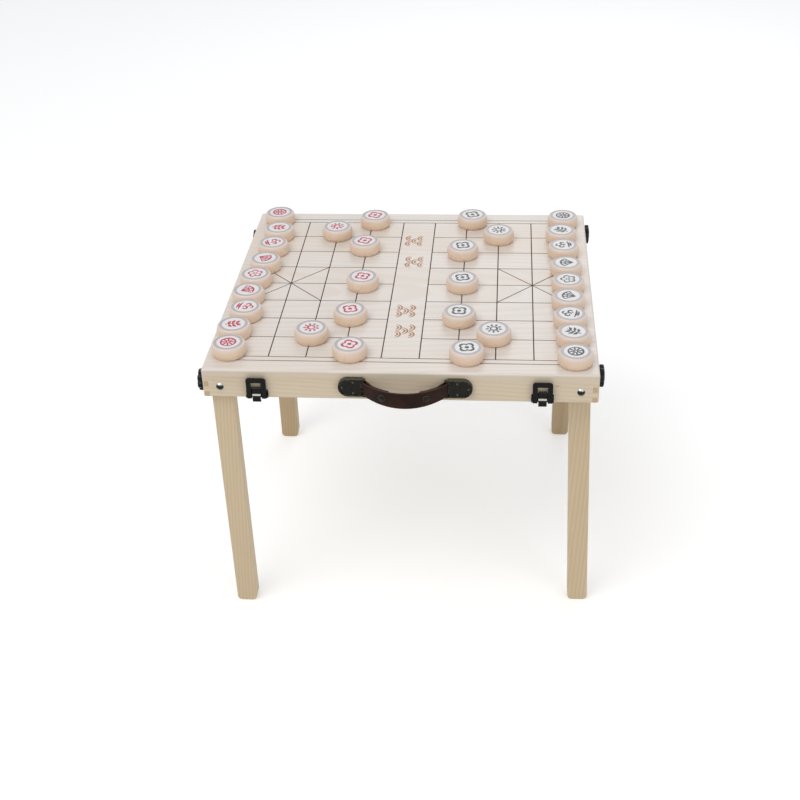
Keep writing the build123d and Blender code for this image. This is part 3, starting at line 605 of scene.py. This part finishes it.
# %% End grain on the box joints


def end_grain_finish(name, base_material, axis):
    """A copy of a wall finish whose faces across the grain are browner."""
    material = base_material.copy()
    material.name = name
    tree = material.node_tree
    facing = maths(tree, "ABSOLUTE", coordinate(tree, surface(tree, "Normal"), axis))
    specks = noise_value(tree, surface(tree, "Object"), 1500.0, 3.0, 0.6)
    brown = mix_colour(tree, specks, paint(178, 134, 96), paint(206, 168, 128))
    amount = product(tree, ramp(tree, facing, 0.9, 0.98), 0.7)
    recolour(tree, tree.nodes["Principled BSDF"], amount, brown)
    return material


cross_wall_ends = end_grain_finish("pine_cross_wall_ends", wall_finish, "X")
side_wall_ends = end_grain_finish("pine_side_wall_ends", side_finish, "Y")
print("end grain:", cross_wall_ends.name, side_wall_ends.name)

# %% [markdown]
# Every node of the frame now gets a finish by its name. The playing pieces get none
# here, because pieces made further down take their place.

# %% Give every node its finish
node_finish = {}
for half in ("front", "rear"):
    node_finish[f"{half}_panel"] = board_finish
    node_finish[f"{half}_wall"] = cross_wall_ends
    node_finish[f"{half}_seam_wall"] = cross_wall_ends
    node_finish[f"{half}_pivot_bolts"] = chrome
    node_finish[f"{half}_pivot_nuts"] = zinc
    node_finish[f"{half}_leg_spacer"] = zinc
    node_finish[f"{half}_knob_inserts"] = turned_brass
    node_finish[f"{half}_hinge_leaves"] = dull_plate
    node_finish[f"{half}_hinge_screws"] = zinc
    for hand in ("left", "right"):
        node_finish[f"{half}_{hand}_wall"] = side_wall_ends
        node_finish[f"{half}_{hand}_leg"] = leg_finish if half == "front" else shaded_rear_leg_finish
        node_finish[f"{half}_{hand}_stud"] = zinc
        node_finish[f"{half}_{hand}_knob"] = black_plastic
for hand in ("left", "right"):
    for part in ("latch_base", "latch_lever", "latch_hook", "hook_pin"):
        node_finish[f"{hand}_{part}"] = hook_lacquer if part == "latch_hook" else black_lacquer
    node_finish[f"{hand}_handle_plate"] = bronze
node_finish.update(
    hinge_pins=dull_plate,
    latch_pivot_pins=black_lacquer,
    latch_screws=black_lacquer,
    latch_keepers=black_lacquer,
    keeper_screws=black_lacquer,
    handle_bars=bronze,
    handle_nails=aged_brass,
    handle_rivets=bronze,
    handle_strap=leather,
)


def dress(node, material):
    node.data.materials.clear()
    node.data.materials.append(material)
    for polygon in node.data.polygons:
        polygon.use_smooth = True
    node.data.set_sharp_from_angle(angle=math.radians(32))


for name, material in node_finish.items():
    dress(nodes[name], material)
print("dressed", len(node_finish), "nodes; left:", sorted(set(nodes) - set(node_finish)))

# %% [markdown]
# ## Three small builders
# Most pieces left are turned, swept or drawn with a brush. All three come down to
# rings of points with faces between them, so one helper skins rings, a second turns a
# profile round an axis, and a third lays a stroke of changing width along a path.

# %% Builders


def skin(shape, rings, material=0):
    """A closed skin over rings that all have the same number of points."""
    made = [[shape.verts.new(point) for point in ring] for ring in rings]
    faces = [shape.faces.new(list(reversed(made[0]))), shape.faces.new(made[-1])]
    for low, high in zip(made, made[1:]):
        for i in range(len(low)):
            j = (i + 1) % len(low)
            faces.append(shape.faces.new((low[i], low[j], high[j], high[i])))
    for face in faces:
        face.material_index = material
        face.smooth = True


def turn_profile(shape, profile, place, segments=64, lobe=None, material=0):
    """Turns (radius, height) points in mm about Z. lobe(angle) stretches rings that ask for it."""
    rings = []
    for point in profile:
        radius, height = point[0] * MM, point[1] * MM
        swell = point[2] * MM if len(point) > 2 else 0
        ring = []
        for i in range(segments):
            angle = 2 * math.pi * i / segments
            reach = radius + (swell * lobe(angle) if lobe else 0)
            ring.append(place @ Vector((reach * math.cos(angle), reach * math.sin(angle), height)))
        rings.append(ring)
    skin(shape, rings, material)


def smooth_path(points, steps=6):
    """Points along a curve that passes through all the given ones."""
    made = []
    last = len(points) - 1
    for i in range(last):
        corners = [points[max(i - 1, 0)], points[i], points[i + 1], points[min(i + 2, last)]]
        for step in range(steps):
            t = step / steps
            made.append(
                tuple(
                    0.5
                    * (
                        2 * b
                        + (c - a) * t
                        + (2 * a - 5 * b + 4 * c - d) * t * t
                        + (3 * b - a - 3 * c + d) * t**3
                    )
                    for a, b, c, d in zip(*corners)
                )
            )
    made.append(tuple(points[-1]))
    return made


def brush_stroke(shape, points, low, high, place=Matrix(), material=0, bold=1.0):
    """A raised ribbon along (x, y, width) points in mm, between two heights in metres."""
    path = smooth_path([(x, y, width * bold) for x, y, width in points])
    rings = []
    for i, (x, y, width) in enumerate(path):
        before, after = path[max(i - 1, 0)], path[min(i + 1, len(path) - 1)]
        run = Vector((after[0] - before[0], after[1] - before[1]))
        run.normalize()
        side = Vector((-run.y, run.x)) * max(width, 0.12) / 2
        left, right = (x + side.x) * MM, (x - side.x) * MM
        up, down = (y + side.y) * MM, (y - side.y) * MM
        corners = ((left, up, low), (right, down, low), (right, down, high), (left, up, high))
        rings.append([place @ Vector(corner) for corner in corners])
    skin(shape, rings, material)


def finish_piece(name, shape, materials, body, replaced=(), place=None, angle=32):
    """Makes the object, sets it in place and ties it to its body."""
    bmesh.ops.recalc_face_normals(shape, faces=shape.faces)
    mesh = bpy.data.meshes.new(name)
    shape.to_mesh(mesh)
    shape.free()
    for material in materials:
        mesh.materials.append(material)
    mesh.set_sharp_from_angle(angle=math.radians(angle))
    piece = bpy.data.objects.new(name, mesh)
    scene.collection.objects.link(piece)
    if place is not None:
        piece.matrix_world = place
    bpy.context.view_layer.update()
    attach(piece, body)
    if replaced:
        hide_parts(*replaced)
    return piece


def solids_of(node):
    """Low and high corners of each separate solid in a CAD node, in a fixed order."""
    shape = bmesh.new()
    shape.from_mesh(nodes[node].data)
    bmesh.ops.remove_doubles(shape, verts=shape.verts, dist=1e-6)
    shape.verts.ensure_lookup_table()
    unseen = set(range(len(shape.verts)))
    found = []
    while unseen:
        edge_of = [min(unseen)]
        unseen.discard(edge_of[0])
        group = []
        while edge_of:
            vertex = shape.verts[edge_of.pop()]
            group.append(nodes[node].matrix_world @ vertex.co)
            for edge in vertex.link_edges:
                other = edge.other_vert(vertex).index
                if other in unseen:
                    unseen.discard(other)
                    edge_of.append(other)
        low = Vector([min(point[k] for point in group) for k in range(3)])
        high = Vector([max(point[k] for point in group) for k in range(3)])
        found.append((low, high))
    shape.free()
    return sorted(found, key=lambda pair: (round(pair[0].y, 4), round(pair[0].x, 4)))


print("solids in red_pieces_front:", len(solids_of("red_pieces_front")))

# %% [markdown]
# ## Playing pieces: the wood
# Each piece is a turned wooden disc with a swelling side and a softened rim. Its face
# has a grey painted ring in a shallow turned groove. The disc inside the ring is painted
# almost white, a painted reflection of the bright sky in the lacquered face, and the
# upper part of the side is paled as a painted sheen. Height and distance from the
# middle tell the finish where it is. A value stored in each mesh moves the grain, so no
# two pieces are the same slice.

# %% Piece finish
piece_wood, tree, shader, place = new_finish("turned_beech_piece")
log_place = add_node(tree, "ShaderNodeAttribute", attribute_name="log_place").outputs["Vector"]
cut_place = vector_maths(tree, "ADD", place, log_place)
grain = place_group(
    tree,
    pine_group,
    {"Along": cut_place, "Ring Width": 0.0021, "Wander": 0.012, "Core Height": 0.02},
)
piece_colour = wood_layers(
    tree, grain, paint(236, 214, 192), paint(228, 200, 174), paint(200, 160, 124), 0.35
)
height = coordinate(tree, place, "Z")
from_middle = hypotenuse(tree, coordinate(tree, place, "X"), coordinate(tree, place, "Y"))
# Painted sheen: the upper part of the side is paled towards pink-white, as if lit from above.
painted_top_sheen = ramp(tree, height, 9 * MM, 16.8 * MM)
piece_colour = mix_colour(tree, product(tree, painted_top_sheen, 0.7), piece_colour, paint(222, 210, 204))
on_face = ramp(tree, height, 16.3 * MM, 16.6 * MM)
# Painted reflection: the face inside the ring is painted almost white, as the bright sky seen in
# the lacquer.
painted_face_reflection = product(tree, on_face, ramp(tree, from_middle, 15.4 * MM, 14.8 * MM), 0.85)
piece_colour = mix_colour(tree, painted_face_reflection, piece_colour, paint(224, 224, 226))
ring_paint = product(
    tree,
    on_face,
    ramp(tree, from_middle, 14.8 * MM, 15.2 * MM),
    ramp(tree, from_middle, 19.1 * MM, 18.8 * MM),
    0.9,
)
ring_noise = noise_value(tree, cut_place, 900.0, 3.0, 0.6)
ring_colour = mix_colour(tree, ring_noise, paint(158, 155, 160), paint(184, 180, 184))
piece_colour = mix_colour(tree, ring_paint, piece_colour, ring_colour)
plug(tree, shader, piece_colour, ramp(tree, ring_noise, 0.3, 0.7, 0.34, 0.46))
wood_bump(tree, shader, grain, 0.03 * MM)
print("piece finish has", len(tree.nodes), "nodes")

# %% [markdown]
# ## Playing pieces: the painted marks
# A set needs seven kinds of piece in two colours. Real sets carry written characters;
# these carry plain drawn marks instead: blossom, fan, cloud, leaf, wheel, sun and
# quatrefoil. A brush stroke is thick in the middle and thin at its ends, and the paint
# stands a tenth of a millimetre proud, so every stroke is a low ribbon of its own.

# %% Marks


def brush_paint(name, first, second):
    material, tree, shader, place = new_finish(name)
    streaks = noise_value(tree, stretch(tree, place, (700, 260, 500)), 1.0, 4.0, 0.65)
    colour = mix_colour(tree, streaks, first, second)
    plug(tree, shader, colour, ramp(tree, streaks, 0.3, 0.75, 0.28, 0.5))
    return material


mark_paint = {
    "red": brush_paint("red_brush_paint", paint(206, 62, 96), paint(158, 26, 54)),
    "black": brush_paint("black_brush_paint", paint(46, 56, 64), paint(20, 26, 30)),
}


def arc_stroke(x, y, radius, start, end, widths=(0.5, 1.7, 0.5), shrink=0.0, count=9):
    """A bow or a spiral: angles in degrees, widths at its start, middle and end."""
    points = []
    for i in range(count):
        share = i / (count - 1)
        angle = math.radians(start + (end - start) * share)
        reach = radius * (1 - shrink * share)
        first, middle, last = widths
        width = first + (middle - first) * 2 * share
        if share > 0.5:
            width = middle + (last - middle) * (2 * share - 1)
        points.append((x + reach * math.cos(angle), y + reach * math.sin(angle), width))
    return points


def straight_stroke(start, end, widths=(0.6, 1.8, 0.4), bend=0.0):
    """A tapered stroke that bows sideways by the given amount."""
    run = Vector((end[0] - start[0], end[1] - start[1]))
    side = Vector((-run.y, run.x)).normalized() * bend
    middle = ((start[0] + end[0]) / 2 + side.x, (start[1] + end[1]) / 2 + side.y)
    return [(*start, widths[0]), (*middle, widths[1]), (*end, widths[2])]


def around(count, radius, turn=0.0):
    return [
        (
            radius * math.cos(math.radians(turn + 360 * i / count)),
            radius * math.sin(math.radians(turn + 360 * i / count)),
        )
        for i in range(count)
    ]


blossom = [
    arc_stroke(x, y, 3.7, 90 + 72 * i - 125, 90 + 72 * i + 125)
    for i, (x, y) in enumerate(around(5, 5.9, 90))
] + [straight_stroke((x * 0.3, y * 0.3), (x, y), (0.4, 0.9, 1.3)) for x, y in around(5, 3.6, 126)]
fan = [
    straight_stroke((0, -9), (13.5 * math.sin(a), 13.5 * math.cos(a) - 6), (1.2, 0.9, 1.3))
    for a in (math.radians(d) for d in (-52, -26, 0, 26, 52))
] + [
    arc_stroke(0, -6, 13.6, 35, 145, (0.8, 2.0, 0.8)),
    arc_stroke(0, -7, 8.8, 40, 140, (0.5, 1.4, 0.5)),
]
cloud = [
    arc_stroke(-4.5, 2.5, 5.2, -60, 330, (0.7, 1.9, 0.5), 0.7),
    arc_stroke(4.8, 0.5, 4.6, 240, -120, (0.7, 1.8, 0.5), 0.7),
    straight_stroke((-10, -6), (10, -6.5), (0.5, 2.0, 0.6), -1.2),
    straight_stroke((-6.5, -9.5), (7, -9.8), (0.5, 1.7, 0.4), -0.8),
    arc_stroke(0.5, 7.2, 3.4, 10, 190, (0.6, 1.6, 0.6)),
]
leaf = [straight_stroke((-1, -11), (1, 10), (1.1, 0.8, 0.5), 0.8)] + [
    straight_stroke((0, low), (side * reach, high), (0.4, 2.6, 0.2), side * -1.0)
    for low, reach, high in ((-6, 8, -2.5), (-1, 9, 3.5), (4, 6, 9.5))
    for side in (-1, 1)
]
wheel = [
    arc_stroke(0, 0, 9.4, 20, 385, (1.0, 1.9, 1.0), 0.0, 17),
    arc_stroke(0, 0, 2.4, 0, 360, (0.9, 1.3, 0.9), 0.0, 11),
] + [straight_stroke((x * 0.3, y * 0.3), (x, y), (0.7, 1.5, 0.9)) for x, y in around(8, 8.6, 11)]
sun = [arc_stroke(0, 0, 4.3, 40, 410, (0.9, 1.8, 0.9), 0.0, 13)] + [
    straight_stroke((x * 0.56, y * 0.56), (x, y), (0.5, 2.0, 0.3), 0.6)
    for x, y in around(9, 10.8, 90)
]
quatrefoil = [
    arc_stroke(x, y, 4.6, 90 * i - 65, 90 * i + 155, (0.9, 2.3, 0.9))
    for i, (x, y) in enumerate(around(4, 4.9, 45))
] + [arc_stroke(0, 0, 1.5, 0, 360, (1.6, 1.8, 1.6), 0.0, 9)]
marks = {
    "chariot": wheel,
    "horse": leaf,
    "elephant": cloud,
    "advisor": fan,
    "general": blossom,
    "cannon": sun,
    "soldier": quatrefoil,
}
half_row = ("chariot", "horse", "elephant", "advisor")
back_row = (*half_row, "general", *reversed(half_row))
print("strokes in each mark:", {name: len(strokes) for name, strokes in marks.items()})

# %% [markdown]
# ## Playing pieces: all thirty-two
# The frame says where each piece stands, and the crossing it stands on says which kind
# it is. Players set pieces down by hand, so each one is turned a little differently. A
# seeded random number keeps those turns the same on every run.

# %% Make the pieces
SOLDIER_LINES = (3, 6)
CANNON_LINES = (2, 7)
MARK_BOLDNESS = 1.5
PIECE_PROFILE = [
    (18.6, 0), (19.3, 0.08), (20.3, 0.5), (21.2, 1.6), (22.0, 3.6), (22.4, 6.0), (22.48, 8.0),
    (22.38, 10.2), (22.1, 12.4), (21.6, 14.3), (21.0, 15.5), (20.3, 16.4), (19.6, 16.85),
    (19.05, 16.98), (18.85, 16.9), (18.8, 16.72), (15.15, 16.72), (15.1, 16.9), (14.95, 17.0),
    (8.0, 17.0), (0.4, 17.0),
]
hand_turns = random.Random(32)
made_pieces = 0
for colour in ("red", "black"):
    for group in ("rear", "middle", "front"):
        node = f"{colour}_pieces_{group}"
        for low, high in solids_of(node):
            middle = (low + high) / 2
            line = round(middle.x / rank_pitch + 4.5)
            crossing = round(4 - (middle.y - seam_y) / file_pitch)
            kind = back_row[crossing]
            if line in SOLDIER_LINES:
                kind = "soldier"
            if line in CANNON_LINES:
                kind = "cannon"
            shape = bmesh.new()
            turn_profile(shape, PIECE_PROFILE, Matrix())
            facing = Matrix.Rotation(math.radians(-90 if colour == "red" else 90), 4, "Z")
            for index, strokes in enumerate(marks[kind]):
                proud = (17.09 + 0.012 * index) * MM
                brush_stroke(shape, strokes, 16.96 * MM, proud, facing, 1, MARK_BOLDNESS)
            turn = Matrix.Rotation(math.radians(hand_turns.uniform(-28, 28)), 4, "Z")
            made_pieces += 1
            piece = finish_piece(
                f"{colour}_{kind}_{made_pieces:02d}",
                shape,
                (piece_wood, mark_paint[colour]),
                f"{colour}_{group}_set",
                (node,),
                Matrix.Translation((middle.x, middle.y, low.z)) @ turn,
            )
            shift = [hand_turns.uniform(-1, 1), hand_turns.uniform(-0.02, 0.02), 0.03]
            log = piece.data.attributes.new("log_place", "FLOAT_VECTOR", "POINT")
            log.data.foreach_set("vector", shift * len(piece.data.vertices))
print("made", made_pieces, "playing pieces")

# %% [markdown]
# ## The river ornament
# The strip along the middle of the board is the river. Here it carries four groups of
# wave scales, an old and common ornament, painted in a golden brown that has sunk into
# the wood a little unevenly. Each group belongs to the tray it is painted on.

# %% River waves
river_paint = brush_paint("golden_brown_paint", paint(180, 124, 70), paint(142, 92, 48))
wave_scales = [
    arc_stroke(x, y, radius, 12, 168, (1.1, 2.7, 1.1))
    for x, y in ((-8.8, -12.6), (8.8, -12.6), (0.0, -3.8), (-8.8, 5.0), (8.8, 5.0))
    for radius in (8.2, 4.4)
]
for half, number, x, y in (
    ("rear", 1, -3.4, 137.4),
    ("rear", 2, 1.2, 68.7),
    ("front", 3, -2.7, -76.8),
    ("front", 4, 0.0, -130.7),
):
    shape = bmesh.new()
    flip = Matrix.Rotation(math.pi / 2 if number < 3 else -math.pi / 2, 4, "Z")
    for index, strokes in enumerate(wave_scales):
        brush_stroke(shape, strokes, -0.05 * MM, (0.05 + 0.008 * index) * MM, flip)
    finish_piece(
        f"river_waves_{number}",
        shape,
        (river_paint,),
        f"{half}_half",
        place=Matrix.Translation((x * MM, seam_y + y * MM, board_top)),
    )
print("river waves painted")

# %% [markdown]
# ## The leather strap
# The strap is one length of belt leather. Each end goes round a steel bar in the end
# plate and comes back behind the belt, where a snap holds it. In plan it is a path:
# the folded end, the eye round the bar, the bow in front of the wall, and the same
# again on the other side. A belt section with rounded, slightly swollen faces follows
# that path. Leather hangs lower in the middle, so the section's two edges follow
# their own curves.

# %% Strap path
left_plate, right_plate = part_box("left_handle_plate"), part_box("right_handle_plate")
handle_x = (left_plate[0].x + right_plate[1].x) / 2
handle_z = (left_plate[0].z + left_plate[1].z) / 2
BAR_U, BAR_OUT = 51.0, 5.0
BOW_RADIUS, BOW_CENTRE = 78.40, -50.40
PLY = 2.2
FOLD_RADIUS = BOW_RADIUS - 1.58 * PLY
EYE_RADIUS = 2.25
EYE_PLY = 1.5
EYE_SETBACK = 1.5
bar_angle = math.atan2(BAR_U, BAR_OUT - BOW_CENTRE)
FOLD_START = math.radians(14.8)
FOLD_END = bar_angle - math.radians(7.5)
BELT_START = bar_angle - math.radians(4)


def bow_point(angle, radius):
    return (radius * math.sin(angle), BOW_CENTRE + radius * math.cos(angle))


half_path = []
for i in range(17):
    share = i / 16
    dip = 0.9 * max(0.0, share - 0.7) ** 2 / 0.09
    angle = FOLD_START + (FOLD_END - FOLD_START) * share
    half_path.append((*bow_point(angle, FOLD_RADIUS - dip), PLY))
for degrees_round in range(-120, 50, 15):
    angle = math.radians(degrees_round)
    out = BAR_OUT - (EYE_SETBACK if degrees_round < 0 else 0) + EYE_RADIUS * math.sin(angle)
    half_path.append((BAR_U + EYE_RADIUS * math.cos(angle), out, EYE_PLY))
for i in range(19):
    share = i / 18
    thick = EYE_PLY + (PLY - EYE_PLY) * min(1.0, share * 4)
    half_path.append((*bow_point(BELT_START * (1 - share), BOW_RADIUS - thick / 2), thick))
mirrored = [(-u, out, thick) for u, out, thick in reversed(half_path[:-1])]
strap_path = smooth_path(half_path + mirrored, 3)
print("strap path has", len(strap_path), "stations")

# %% [markdown]
# The section rides along the path, square to it. The first of its two numbers runs up
# and down the belt and the second through its thickness.

# %% Strap body
BELT_SECTION = [
    (-1.0, 0.0), (-0.985, 0.55), (-0.955, 0.86), (-0.9, 0.98), (-0.5, 1.03), (0.0, 1.05),
    (0.5, 1.03), (0.9, 0.98), (0.955, 0.86), (0.985, 0.55), (1.0, 0.0), (0.985, -0.55),
    (0.955, -0.86), (0.9, -0.98), (0.3, -1.0), (-0.3, -1.0), (-0.9, -0.98), (-0.955, -0.86),
    (-0.985, -0.55),
]
SPAN = 55.1
UPPER_EDGE, UPPER_RISE = 6.1, 3.0
LOWER_EDGE, LOWER_RISE = -16.1, 7.0
shape = bmesh.new()
rings = []
for i, (u, out, thick) in enumerate(strap_path):
    before, after = strap_path[max(i - 1, 0)], strap_path[min(i + 1, len(strap_path) - 1)]
    run = Vector((after[0] - before[0], after[1] - before[1])).normalized()
    normal = Vector((run.y, -run.x))
    upper = UPPER_EDGE + UPPER_RISE * (u / SPAN) ** 2
    lower = LOWER_EDGE + LOWER_RISE * (u / SPAN) ** 2
    ring = []
    for across, through in BELT_SECTION:
        reach = through * thick / 2
        z = (upper + lower) / 2 + across * (upper - lower) / 2
        x = handle_x + (u + normal.x * reach) * MM
        y = front_y - (out + normal.y * reach) * MM
        ring.append(Vector((x, y, handle_z + z * MM)))
    rings.append(ring)
skin(shape, rings)
strap = finish_piece(
    "leather_carrying_strap",
    shape,
    (leather,),
    "carrying_strap",
    ("handle_strap",),
    angle=60,
)
edges = strap.data.attributes.new("cut_edge", "FLOAT", "POINT")
section_edge = [1.0 if abs(across) > 0.94 else 0.0 for across, through in BELT_SECTION]
edges.data.foreach_set("value", section_edge * len(strap_path))
print("strap box", [round(v, 4) for v in strap.dimensions])

# %% [markdown]
# ## Snaps on the strap
# Two domed caps close the folded ends. A cap is pressed from thin sheet, so it has a
# rolled rim, a shallow step and a low dome, and behind the belt its post ends in a
# flared eyelet.

# %% Snaps
CAP_PROFILE = [
    (1.5, -4.6), (1.5, -0.3), (4.5, -0.3), (4.85, 0.0), (4.9, 0.4), (4.7, 0.75), (4.3, 0.86),
    (4.0, 0.78), (3.75, 0.86), (3.0, 1.22), (2.0, 1.48), (1.0, 1.57), (0.2, 1.59),
]
EYELET_PROFILE = [
    (0.3, -5.2), (1.2, -5.2), (1.7, -5.6), (2.4, -5.72), (4.2, -5.7), (4.75, -5.5), (4.85, -5.2),
    (4.6, -4.95), (1.4, -4.9), (0.3, -4.9),
]
SNAP_U = 27.5
snap_z = handle_z - 3.55 * MM
shape = bmesh.new()
for hand in (-1, 1):
    lean = hand * math.asin(SNAP_U / BOW_RADIUS)
    u, out = bow_point(lean, BOW_RADIUS)
    place = Matrix.Translation((handle_x + u * MM, front_y - out * MM, snap_z))
    place = place @ Matrix.Rotation(lean, 4, "Z") @ Matrix.Rotation(math.pi / 2, 4, "X")
    turn_profile(shape, CAP_PROFILE, place, 48)
    turn_profile(shape, EYELET_PROFILE, place, 48)
finish_piece(
    "strap_snaps", shape, (bronze,), "carrying_strap", ("handle_rivets",), angle=28
)
print("snaps made")

# %% [markdown]
# ## Clamping knobs
# A moulded seven-lobed knob: the lobes give the fingers a hold, the face is a low dome
# with a round sink mark in its middle, and the boss behind it holds the steel stud.
# The rings of a turned shape are stretched by a lobe wave, less and less towards the
# middle of the face.

# %% Knobs


def lobe_wave(angle):
    return (0.5 + 0.5 * math.cos(7 * angle)) ** 0.6


KNOB_PROFILE = [
    (0.3, 5.8), (3.04, 5.8), (3.04, 0.0), (6.6, 0.0), (7.0, 0.35), (7.0, 1.2), (9.9, 1.2, 2.3),
    (11.0, 1.35, 3.0), (11.3, 1.9, 3.3), (11.4, 3.0, 3.3), (11.4, 5.0, 3.3), (11.2, 6.2, 3.2),
    (10.6, 6.9, 2.9), (9.6, 7.35, 2.0), (8.2, 7.75, 1.1), (6.5, 8.05, 0.35), (4.9, 8.22),
    (4.4, 8.2), (4.2, 7.95), (4.0, 7.75), (2.0, 7.72), (0.3, 7.72),
]
KNOB_SEGMENTS = 7 * 14
BOLT_RADIUS = 4.75 * MM
for half in ("front", "rear"):
    bolt_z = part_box(f"{half}_pivot_bolts")[0].z + BOLT_RADIUS
    for hand, side in (("left", -1), ("right", 1)):
        node = f"{half}_{hand}_knob"
        low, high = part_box(node)
        middle = (low + high) / 2
        back_x = high.x if side < 0 else low.x
        place = Matrix.Translation((back_x, middle.y, bolt_z))
        place = place @ Matrix.Rotation(side * math.pi / 2, 4, "Y")
        shape = bmesh.new()
        turn_profile(shape, KNOB_PROFILE, place, KNOB_SEGMENTS, lobe_wave)
        finish_piece(
            f"{half}_{hand}_lobed_knob",
            shape,
            (black_plastic,),
            f"{half}_{hand}_knob_turn",
            (node,),
            angle=40,
        )
print("knobs made")

# %% [markdown]
# ## Small screws
# The latch, keeper and hinge screws have cross slots. A head is a disc of rings whose
# points drop wherever they lie inside the cross, which needs no boolean cut and leaves
# a clean closed mesh.

# %% Screws
SCREW_SEGMENTS = 48
SLOT_WIDTH = 0.26
SLOT_REACH = 0.66
SLOT_DEPTH = 0.55


def cross_head(shape, place, radius, rise, sink):
    """A screw head with a cross slot. rise is the dome's height and sink the cone's."""
    turns = [2 * math.pi * i / SCREW_SEGMENTS for i in range(SCREW_SEGMENTS)]
    rings = [[point] * len(turns) for point in ((1.3, -6.9), (1.3, -sink), (radius, 0.0))]
    for step in range(1, 15):
        share = 1 - step / 15
        reach = radius * share
        ring = []
        for turn in turns:
            across = min(abs(reach * math.cos(turn)), abs(reach * math.sin(turn)))
            slot = across < SLOT_WIDTH * radius / 2 and reach < SLOT_REACH * radius
            ring.append((reach, rise * (1 - share * share) - (SLOT_DEPTH if slot else 0.0)))
        rings.append(ring)
    points = [
        [
            place @ (Vector((reach * math.cos(turn), reach * math.sin(turn), height)) * MM)
            for (reach, height), turn in zip(ring, turns)
        ]
        for ring in rings
    ]
    skin(shape, points)


slot_turns = random.Random(7)
for node, body, side, radius, rise, sink, finish, slot in (
    ("latch_screws", "front_half", -1, 2.1, 0.85, 0.05, black_lacquer, "black_latch"),
    ("keeper_screws", "rear_half", 1, 2.1, 0.85, 0.05, black_lacquer, "black_latch"),
    ("front_hinge_screws", "front_half", 1, 2.45, 0.0, 1.1, zinc, "hinge_metal"),
    ("rear_hinge_screws", "rear_half", -1, 2.45, 0.0, 1.1, zinc, "hinge_metal"),
):
    shape = bmesh.new()
    for low, high in solids_of(node):
        middle = (low + high) / 2
        face = (high.y if side > 0 else low.y) - side * rise * MM
        place = Matrix.Translation((middle.x, face, middle.z))
        place = place @ Matrix.Rotation(-side * math.pi / 2, 4, "X")
        place = place @ Matrix.Rotation(slot_turns.uniform(0, 1.5), 4, "Z")
        cross_head(shape, place, radius, rise, sink)
    finish_piece(f"cross_slot_{node}", shape, (finish,), body, (node,), angle=30)
print("screws made")
